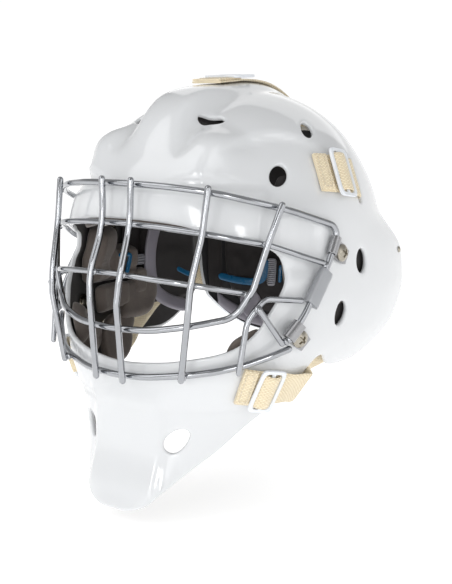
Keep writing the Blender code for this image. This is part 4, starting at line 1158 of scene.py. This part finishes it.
# ---- back plate -----------------------------------------------------------------------------------
PLATE_WALL = 3.0
PLATE_EDGE = 68.0          # half angle of the back plate
PLATE_TOP = 76.0
PLATE_BOTTOM = -88.0
PLATE_CENTRE_Y = 10.0
LINER_FACE = PLATE_WALL + 9.6
# Height, half width, depth behind the centre
PLATE_SECTIONS = ((PLATE_BOTTOM - 6, 68, 74), (-50, 82, 84), (0, 86, 90), (45, 67, 83), (PLATE_TOP + 6, 42, 60))


def plate_surface(turn, z, inward=0.0):
    """The back plate's outer face and normals; the angle is measured from straight back."""
    heights, wide, deep = zip(*PLATE_SECTIONS)

    def point(z, turn):
        angle = np.radians(turn)
        return np.stack([graded(z, heights, wide) * np.sin(angle),
                         PLATE_CENTRE_Y + graded(z, heights, deep) * np.cos(angle), z], -1)

    turn = np.asarray(turn, float)
    z = np.asarray(z, float) + turn * 0
    normal = outward(point, z, turn, 0.1)
    return point(z, turn) - normal * inward, normal


def plate_low(turn):
    return PLATE_BOTTOM + 34 * (np.abs(turn) / PLATE_EDGE) ** 4


def plate_high(turn):
    return PLATE_TOP - 44 * (np.abs(turn) / PLATE_EDGE) ** 3


def shifted(edge, by):
    return lambda turn: edge(turn) + by


def make_plate():
    count = (81, 71)
    turn, z, a, b = pad_grid((-PLATE_EDGE, PLATE_EDGE), (plate_low, plate_high), count, 0.05)
    rim = np.maximum(np.abs(a), np.abs(b))
    rolled = smooth(rim, 0.93, 0.98)
    ribs = 1.1 * smooth(0.55 - rim, 0, 0.12) * smooth(np.cos(math.pi * b * 6), 0.3, 0.9)
    spine = 1.3 * np.exp(-((np.abs(a) - 0.12) / 0.035) ** 2) * smooth(0.9 - np.abs(b), 0, 0.1)
    base, normal = plate_surface(turn, z)
    outer = base + normal * np.maximum(np.maximum(ribs, spine), rolled)[..., None]
    inner = base - normal * (PLATE_WALL + 0.8 * rolled)[..., None]
    points, faces = closed_grid(inner, outer, count)
    made = solid("back_plate_skin", points, faces, WHITE_PLASTIC, "backplate", ["back_plate"])
    # The plate's inner faces are painted near black.
    made.data.materials.append(BLACK)
    for face in made.data.polygons:
        face.material_index = int(all(v < rim.size for v in face.vertices))
    bevelled(made, 0.4)
    pad("back_liner", (-PLATE_EDGE * 0.8, PLATE_EDGE * 0.8), (shifted(plate_low, 14), shifted(plate_high, -8)),
        PLATE_WALL + 0.9, 9.4, DARK_LINER, ["back_plate_liner"], "backplate", plate_surface, 4.2,
        seams=(("u", -0.33, 0.3), ("u", 0.33, 0.3), ("v", 0.42, 0.3), ("v", -0.30, 0.3)))


def make_plate_trims():
    """Blue wings, grey ribbed patches and the lilac-grey rim band inside the back plate."""
    deep, count = PLATE_WALL + 0.4, (46, 9)
    turn, z, _, b = pad_grid((-60, 60), (shifted(plate_low, 2), shifted(plate_low, 12.5)), count, 0.0)
    near, normal = plate_surface(turn, z, deep)
    lift = 0.4 + 0.6 * np.sqrt(1 - np.clip(np.abs(b), 0, 1) ** 2 * 0.98)
    points, faces = closed_grid(near, near - normal * (3.0 * lift)[..., None], count)
    smoothed(solid("rim_band_low", points, faces, GREY_PLASTIC, "backplate", sharp=70))
    for name, side in SIDES:
        patch, rail = trimmer(name, side, "backplate", plate_surface, LINER_FACE)
        patch("rim_band", (56.0, 64.5), (shifted(plate_low, 10), shifted(plate_high, -4)), deep - LINER_FACE, 3.0,
              DARK_LINER, (8, 34), 0.05)
        rail("blue_wing", ((61, -42.5), (52, -46), (44, -48), (37, -48.5), (32, -46.5), (30.5, -42), (30, -31)),
             2.9, 0.9, BLUE, 0.9)
        patch("ribbed_patch", (23, 29.5), (-52, -30), 0.0, 2.0, GREY_TRIM, (8, 57), 0.1, 14)
        patch("blue_bar", (19, 21.5), (-49, -35), 0.0, 1.6, BLUE, (6, 14), 0.12)
        patch("grey_patch", (33, 47), (-78, -56), -0.6, 1.8, GREY_PLASTIC, (16, 14), 0.3)


# ---- straps ---------------------------------------------------------------------------------------
WEBBING = 1.5
WEB_LIFT = 0.6
LOOP_LIFT = 1.4            # from the webbing to a buckle's underside
SEAM_LIFT = 0.12           # from the webbing to its stitches
STITCH_LONG = 2.2
STITCH_PITCH = 3.0
STITCH_R = 0.42
STITCH_EDGE = 0.35         # height of a stitch's edge as a share of its middle
STITCH_ARCH = ((-1.0, 0.0), (-0.86, 0.6), (0.0, 1.0), (0.86, 0.6), (1.0, 0.0))     # place along, height
# A tape's cross-section: place across (-1..1), height (0..1)
TAPE_SECTION = ((-1, 0.5), (-0.97, 0.92), (-0.8, 1), (-0.5, 1), (0, 1), (0.5, 1), (0.8, 1), (0.97, 0.92), (1, 0.5),
                (0.97, 0.08), (0.8, 0), (0.5, 0), (0, 0), (-0.5, 0), (-0.8, 0), (-0.97, 0.08))
# A buckle's cross-section: inset from its outline, height
LOOP_SECTION = ((0.0, 0.35), (0.3, 0.0), (2.3, 0.0), (2.6, 0.35), (2.6, 1.6), (2.3, 2.0), (0.3, 2.0), (0.0, 1.65))


def tape(name, route, half_width, nodes=(), body="root", wall=WEBBING, lift=0.0):
    """Flat woven webbing along (point, normal) pairs, its UV map in millimetres across and along."""
    packed = [tuple(p) + tuple(Vector(n).normalized()) for p, n in route]
    rough = sum(math.dist(a[:3], b[:3]) for a, b in zip(packed, packed[1:]))
    line = smooth_line(packed, max(8, round(rough / 1.6)))
    centre, normal = line[:, :3], line[:, 3:]
    along = unit(np.gradient(centre, axis=0))
    normal = unit(normal - along * (normal * along).sum(axis=1, keepdims=True))
    across = np.cross(along, normal)
    side, high = np.array(TAPE_SECTION).T
    points = (centre[:, None] + across[:, None] * side[None, :, None] * half_width
              + normal[:, None] * (high * wall + lift)[None, :, None])
    rows, n = points.shape[:2]
    uvs = [(float(s * half_width), float(run)) for run in travelled(centre) for s in side]
    faces = ring_faces(rows, n)
    for start in (0, (rows - 1) * n):
        faces += [[start + k, start + k + 1, start + (n - k - 1) % n, start + (n - k) % n] for k in range(1, n // 2)]
        faces.append([start, start + 1, start + n - 1])
    return solid(name, points.reshape(-1, 3), faces, WEBBING_PAINT, body, nodes, 60, uvs)


def box_stitch(name, seat, normal, along, long, wide, body, lift):
    """A rectangle of thread stitches over a webbing end."""
    turn = axes_at(normal, along)
    corners = [Vector((x * long / 2, y * wide, lift)) for x, y in ((-1, -1), (-1, 1), (1, -1), (1, 1))]
    points, faces = [], []
    for i, k in ((0, 1), (2, 3), (0, 2), (1, 3)):
        a, b = corners[i], corners[k]
        count = max(2, round((b - a).length / STITCH_PITCH))
        thread = axes_at(normal, turn @ (b - a))
        for step in range(count):
            spot = turn @ a.lerp(b, (step + 0.5) / count) + Vector(seat)
            base = len(points)
            for x, h in STITCH_ARCH:
                points += [spot + thread @ Vector((x * STITCH_LONG / 2, w * STITCH_R,
                                                   h * (STITCH_EDGE if w else 1) * STITCH_R)) for w in (-1, 0, 1)]
            faces += [[base + 3 * i + j, base + 3 * i + j + 1, base + 3 * i + j + 4, base + 3 * i + j + 3]
                      for i in range(4) for j in range(2)]
    mesh = bpy.data.meshes.new(name)
    mesh.from_pydata([tuple(p * MM) for p in points], [], faces)
    mesh.shade_smooth()
    piece(name, mesh, THREAD, body)


def buckle(loop, bar, seat, normal, along, half_long, half_wide, nodes):
    """A moulded plastic loop, its edges rounded, with a slider bar across the strap."""
    turn, count, points = axes_at(normal, along), 40, []
    for inset, level in LOOP_SECTION:
        points += [((half_long - inset) * squared(math.cos(t), 0.28), (half_wide - inset) * squared(math.sin(t), 0.28),
                    level) for t in circle(count) + math.pi / count]
    solid(loop, placed(points, turn, seat), ring_faces(len(LOOP_SECTION), count, closed=True), WHITE_PLASTIC,
          stands_for=nodes, sharp=45)
    n, points, reach = 12, [], half_wide - 1.5
    for y in np.linspace(-reach, reach, n + 1):
        bow = 0.25 * (1 - (y / reach) ** 2)
        points += [(1.5 * math.cos(t), y, 1.1 + bow + math.sin(t)) for t in circle(n)]
    solid(bar, placed(points, turn, seat), ring_faces(n + 1, n) + end_faces(n + 1, n), WHITE_PLASTIC)


def seat_on(turn, z, lift=WEB_LIFT, surface=on_shell):
    point, normal = surface(turn, z, -lift)
    return tuple(point), tuple(normal)


def seat_on_plate(turn, z, lift):
    return seat_on(turn, z, lift, plate_surface)


def make_side_straps():
    """Webbing that is sewn to the shell, passes its buckle and the shell's edge, and ends on the back plate."""
    temple = ((78, 51), (81, 50.4), (84, 49.8), (87, 49.1), (90, 48.4), (93, 47.6), (96, 46.8), (99.5, 45.8),
              (102.2, 45))
    temple_in = ((106.3, 44.0, -6.8), (110, 43.2, -9.5), (117, 41.0, -12.5), (124, 38.5, -13.0))
    temple_end = ((74, 34, 2.7), (66, 33, 1.8), (57, 32, 1.3), (49, 31.5, 1.1))
    jaw = ((54, -79.5), (57, -80.3), (60, -81), (63, -81.7), (66, -82.4), (69, -83), (72, -83.4))
    jaw_in = ((77, -84, 1.8), (82.5, -84.6, 3.0), (88.4, -85.4, 3.2), (92.0, -84.0, -5.5), (95.5, -79.5, -9.6),
              (100, -71.5, -8.0), (106, -63, -6.6), (112, -54, -6.3), (119, -46, -6.6))
    jaw_end = ((64, -38, 3.0), (56, -36, 1.5), (48, -35, 1.1))
    bridge = ((-6.0, -0.9), (-4.6, 0.9), (-2.6, 2.3), (0, 2.6), (2.6, 2.3), (4.6, 0.9), (6.0, -0.9))
    for name, side in SIDES:
        for kind, line, inner, plate, half, wide in (("temple", temple, temple_in, temple_end, 13.6, 17.0),
                                                     ("jaw", jaw, jaw_in, jaw_end, 13.0, 16.5)):
            route = [seat_on(*spot) for spot in line + inner] + [seat_on_plate(*spot) for spot in plate]
            route = [tuple(Vector((v[0] * side, *v[1:])) for v in pair) for pair in route]
            strap = tape(f"{kind}_webbing_{name}", route, half, [f"{kind}_strap_{name}"], None)
            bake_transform(strap)
            tape(f"{kind}_anchor_{name}", route[:3], half - 0.25, lift=WEBBING + 0.05)
            seat, normal = route[1]
            along = route[2][0] - route[0][0]
            box_stitch(f"{kind}_stitches_{name}", seat, normal, along, along.length * 0.62, half - 3.0, "root",
                       2 * WEBBING + SEAM_LIFT)
            seat, normal = route[4][0] + route[4][1].normalized() * (WEBBING + LOOP_LIFT), route[4][1].normalized()
            along = route[6][0] - route[2][0]
            buckle(f"{kind}_loop_{name}", f"{kind}_bar_{name}", seat, normal, along, 9.0, wide,
                   [f"{kind}_buckle_{name}"])
            turn = axes_at(normal, along)
            arch = [(turn @ Vector((x, 0, h)) + seat, turn @ Vector((x * 0.15, 0, 1))) for x, h in bridge]
            tape(f"{kind}_return_{name}", arch, half - 0.4, wall=1.3)
            box_stitch(f"{kind}_rear_stitches_{name}", *route[-2], route[-1][0] - route[-3][0], 9.0, half - 3.0,
                       "backplate", WEBBING + 0.1)


def make_crown_strap():
    front = (0.27, 0.20, 0.13, 0.07, 0.02)
    behind = (0.05, 0.12, 0.19, 0.26, 0.33, 0.40, 0.46, 0.52, 0.58, 0.63)
    route = [tuple(Vector(v) for v in shell_frame(r, phi, -WEB_LIFT))
             for row, phi in ((front, 0.0), (behind, math.pi)) for r in row]
    rear = [((0.0, 61.0, 84.6), (0, 0.5, 0.86)), ((0.0, 68.5, 81.2), (0, 0.62, 0.78)), seat_on_plate(0, 72, 2.6),
            seat_on_plate(0, 58, 1.9), seat_on_plate(0, 48, 1.9)]
    strap = tape("crown_webbing", route + rear, 12.5, ["crown_strap", "crown_strap_tail"], None)
    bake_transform(strap)
    tape("crown_anchor", route[:4], 12.2, lift=WEBBING + 0.05)
    box_stitch("crown_stitches", *route[1], route[2][0] - route[0][0], 9.0, 9.2, "root", 2 * WEBBING + SEAM_LIFT)
    seat, normal = shell_frame(0.05, 0.0, -(WEB_LIFT + WEBBING + 0.8))
    buckle("crown_loop", "crown_bar", seat, normal, (0, 1, 0), 11.0, 15.5, ["crown_buckle"])
    box_stitch("crown_rear_stitches", *rear[3], (0, 0.1, -1), 9.0, 9.2, "backplate", WEBBING + 0.1)


# ---- chin cup -------------------------------------------------------------------------------------
CHIN_HINGE = (0.0, -98.0, -84.0)
CUP_R = 29.6
CUP_WIDEN = (1.15, 0.8)    # how the round cup is stretched across and front to back
CUP_DROP = 12.0            # from the hinge to the cup's rim
TAPE_REACH = 62.5


def make_chin_cup():
    _, y, z = CHIN_HINGE
    top = z - CUP_DROP
    bowl = [(0, -21), (5, -20.8), (10, -20), (15, -18.2), (20, -15.2), (25, -10.8), (28.3, -5.5), (29.8, -1.0),
            (CUP_R, 0.2), (28.6, 0.9), (27.3, 0.6), (26.6, -0.3), (25.2, -3.5), (22.5, -8.2), (18.5, -11.8),
            (13.5, -14.6), (8, -16.6), (0, -17.5)]
    points, faces = turned(bowl, 48)
    shaped = []
    for px, py, pz in points:
        quilt = 0.25 * math.cos(8 * math.atan2(py, px)) * smooth(math.hypot(px, py), 8, 16) * (1 if pz > -16 else 0.5)
        shaped.append((px * CUP_WIDEN[0], y + py * CUP_WIDEN[1], top + pz + float(quilt)))
    cup = solid("chin_bowl", shaped, faces, DARK_LINER, "chin", ["chin_cup"], sharp=80)
    smoothed(cup)
    edge = [(CUP_R * CUP_WIDEN[0] * math.cos(t), y + CUP_R * CUP_WIDEN[1] * math.sin(t), top + 0.5)
            for t in circle(48)]
    rod("chin_piping", edge, 0.9, GREY_PLASTIC, "chin", bends=[40] * 46, sides=3, cyclic=True)
    stud = [(0, 0), (4.2, 0), (4.5, -0.3), (4.5, -0.9), (4.2, -1.2), (2.5, -1.3), (2.2, -1.6), (2.2, -2.1),
            (1.9, -2.4), (0, -2.4)]
    points, faces = turned(stud, 32)
    for name, side in SIDES:
        up = Vector((side * -0.35, 0, 1))
        low, high = Vector((side * 35.5, y, top - 1.0)), Vector((side * TAPE_REACH, y, z))
        line = [(p, up) for p in (low, low.lerp(high, 0.5) - Vector((0, 0, 1.5)), high)]
        tape(f"chin_tape_{name}", line, 6.0, [f"chin_strap_{name}"], "chin", 1.3)
        seat, normal = on_shell(side * 54.5, z, SHELL_WALL + 1.0)
        solid(f"snap_{name}", placed(points, axes_at(normal, (0, 0, 1)), seat), faces, NICKEL,
              stands_for=[f"chin_snap_{name}"], sharp=40)


# ---- floor, light and camera ------------------------------------------------------------------------
FLOOR_Z = -0.176
FLOOR_HALF = 20
FLOOR_COLOUR = (0.80, 0.80, 0.80)
SKY = ((0.0, 1.0), (0.5, 1.05), (0.585, 1.0), (0.70, 0.36), (1.0, 0.5))     # from straight down to straight up
# Name, place, target, size, power
LAMPS = (
    ("key", (-0.9, -1.5, 1.5), (0, 0, 0), (1.7, 1.7), 12),
    ("window_left", (0.25, -1.6, 0.35), (0, -0.1, 0.03), (0.22, 0.5), 2.2),
    ("window_right", (1.15, -1.35, 0.30), (0.05, -0.08, 0.03), (0.22, 0.5), 2.2),
    ("fill_right", (1.9, -0.3, 0.7), (0, 0, 0), (1.0, 1.2), 4),
    ("back_rim", (-0.7, 1.5, 1.1), (0, 0, 0.02), (1.6, 1.2), 4),
    ("inside_fill", (0.25, -1.3, -0.1), (0, 0, -0.02), (0.5, 0.5), 1.0),
)
CAMERA_PLACE = (0.5046, -0.6690, 0.0974)
CAMERA_TURN = math.radians(38)                # towards the wearer's left
CAMERA_DROP = math.radians(9.4496)            # looking down
SENSOR = 36
FOCAL_HEIGHTS = 1160 / 584                    # focal length in picture heights


def make_stage():
    """A pale floor, a soft sky and the studio's lamps."""
    mesh = bpy.data.meshes.new("floor")
    corners = [(x * FLOOR_HALF, y * FLOOR_HALF, 0) for x, y in ((-1, -1), (1, -1), (1, 1), (-1, 1))]
    mesh.from_pydata(corners, [], [(0, 1, 2, 3)])
    mesh.materials.append(Paint("floor", FLOOR_COLOUR, 0.9, Emission_Color=(*FLOOR_COLOUR, 1.0),
                                Emission_Strength=0.82).made)
    floor = linked("floor", mesh)
    floor.location.z = FLOOR_Z
    world = bpy.data.worlds.new("studio")
    bpy.context.scene.world = world
    world.use_nodes = True
    nodes, links = world.node_tree.nodes, world.node_tree.links
    nodes["Background"].inputs["Strength"].default_value = 1.0
    where, split, half, ramp = (nodes.new(f"ShaderNode{kind}") for kind in ("TexCoord", "SeparateXYZ", "Math",
                                                                            "ValToRGB"))
    half.operation = "MULTIPLY_ADD"
    half.inputs[1].default_value = half.inputs[2].default_value = 0.5
    set_stops(ramp, SKY)
    links.new(where.outputs["Generated"], split.inputs[0])
    links.new(split.outputs["Z"], half.inputs[0])
    links.new(half.outputs[0], ramp.inputs["Fac"])
    links.new(ramp.outputs["Color"], nodes["Background"].inputs["Color"])
    for name, place, target, size, power in LAMPS:
        data = bpy.data.lights.new(name, "AREA")
        data.shape = "RECTANGLE"
        data.size, data.size_y = size
        data.energy = power
        made = linked(name, data)
        made.location = place
        made.rotation_euler = (Vector(target) - Vector(place)).to_track_quat("-Z", "Y").to_euler()


def make_camera():
    """Seen from the wearer's front left, a little above."""
    data = bpy.data.cameras.new("camera")
    data.sensor_width = SENSOR
    data.lens = FOCAL_HEIGHTS * SENSOR
    data.clip_start, data.clip_end = 0.05, 50
    made = linked("camera", data)
    made.location = CAMERA_PLACE
    forward = Vector((-math.sin(CAMERA_TURN) * math.cos(CAMERA_DROP), math.cos(CAMERA_TURN) * math.cos(CAMERA_DROP),
                      -math.sin(CAMERA_DROP)))
    made.rotation_euler = forward.to_track_quat("-Z", "Y").to_euler()
    bpy.context.scene.camera = made


for make in (make_shell, make_cage, make_welds, make_fixings, make_labels, make_rivets, make_pads, make_crown_pad,
             make_side_trims, make_plate, make_plate_trims, inflate, make_side_straps, make_crown_strap,
             make_chin_cup, make_stage, make_camera):
    make()
bpy.context.scene.view_settings.view_transform = "Standard"
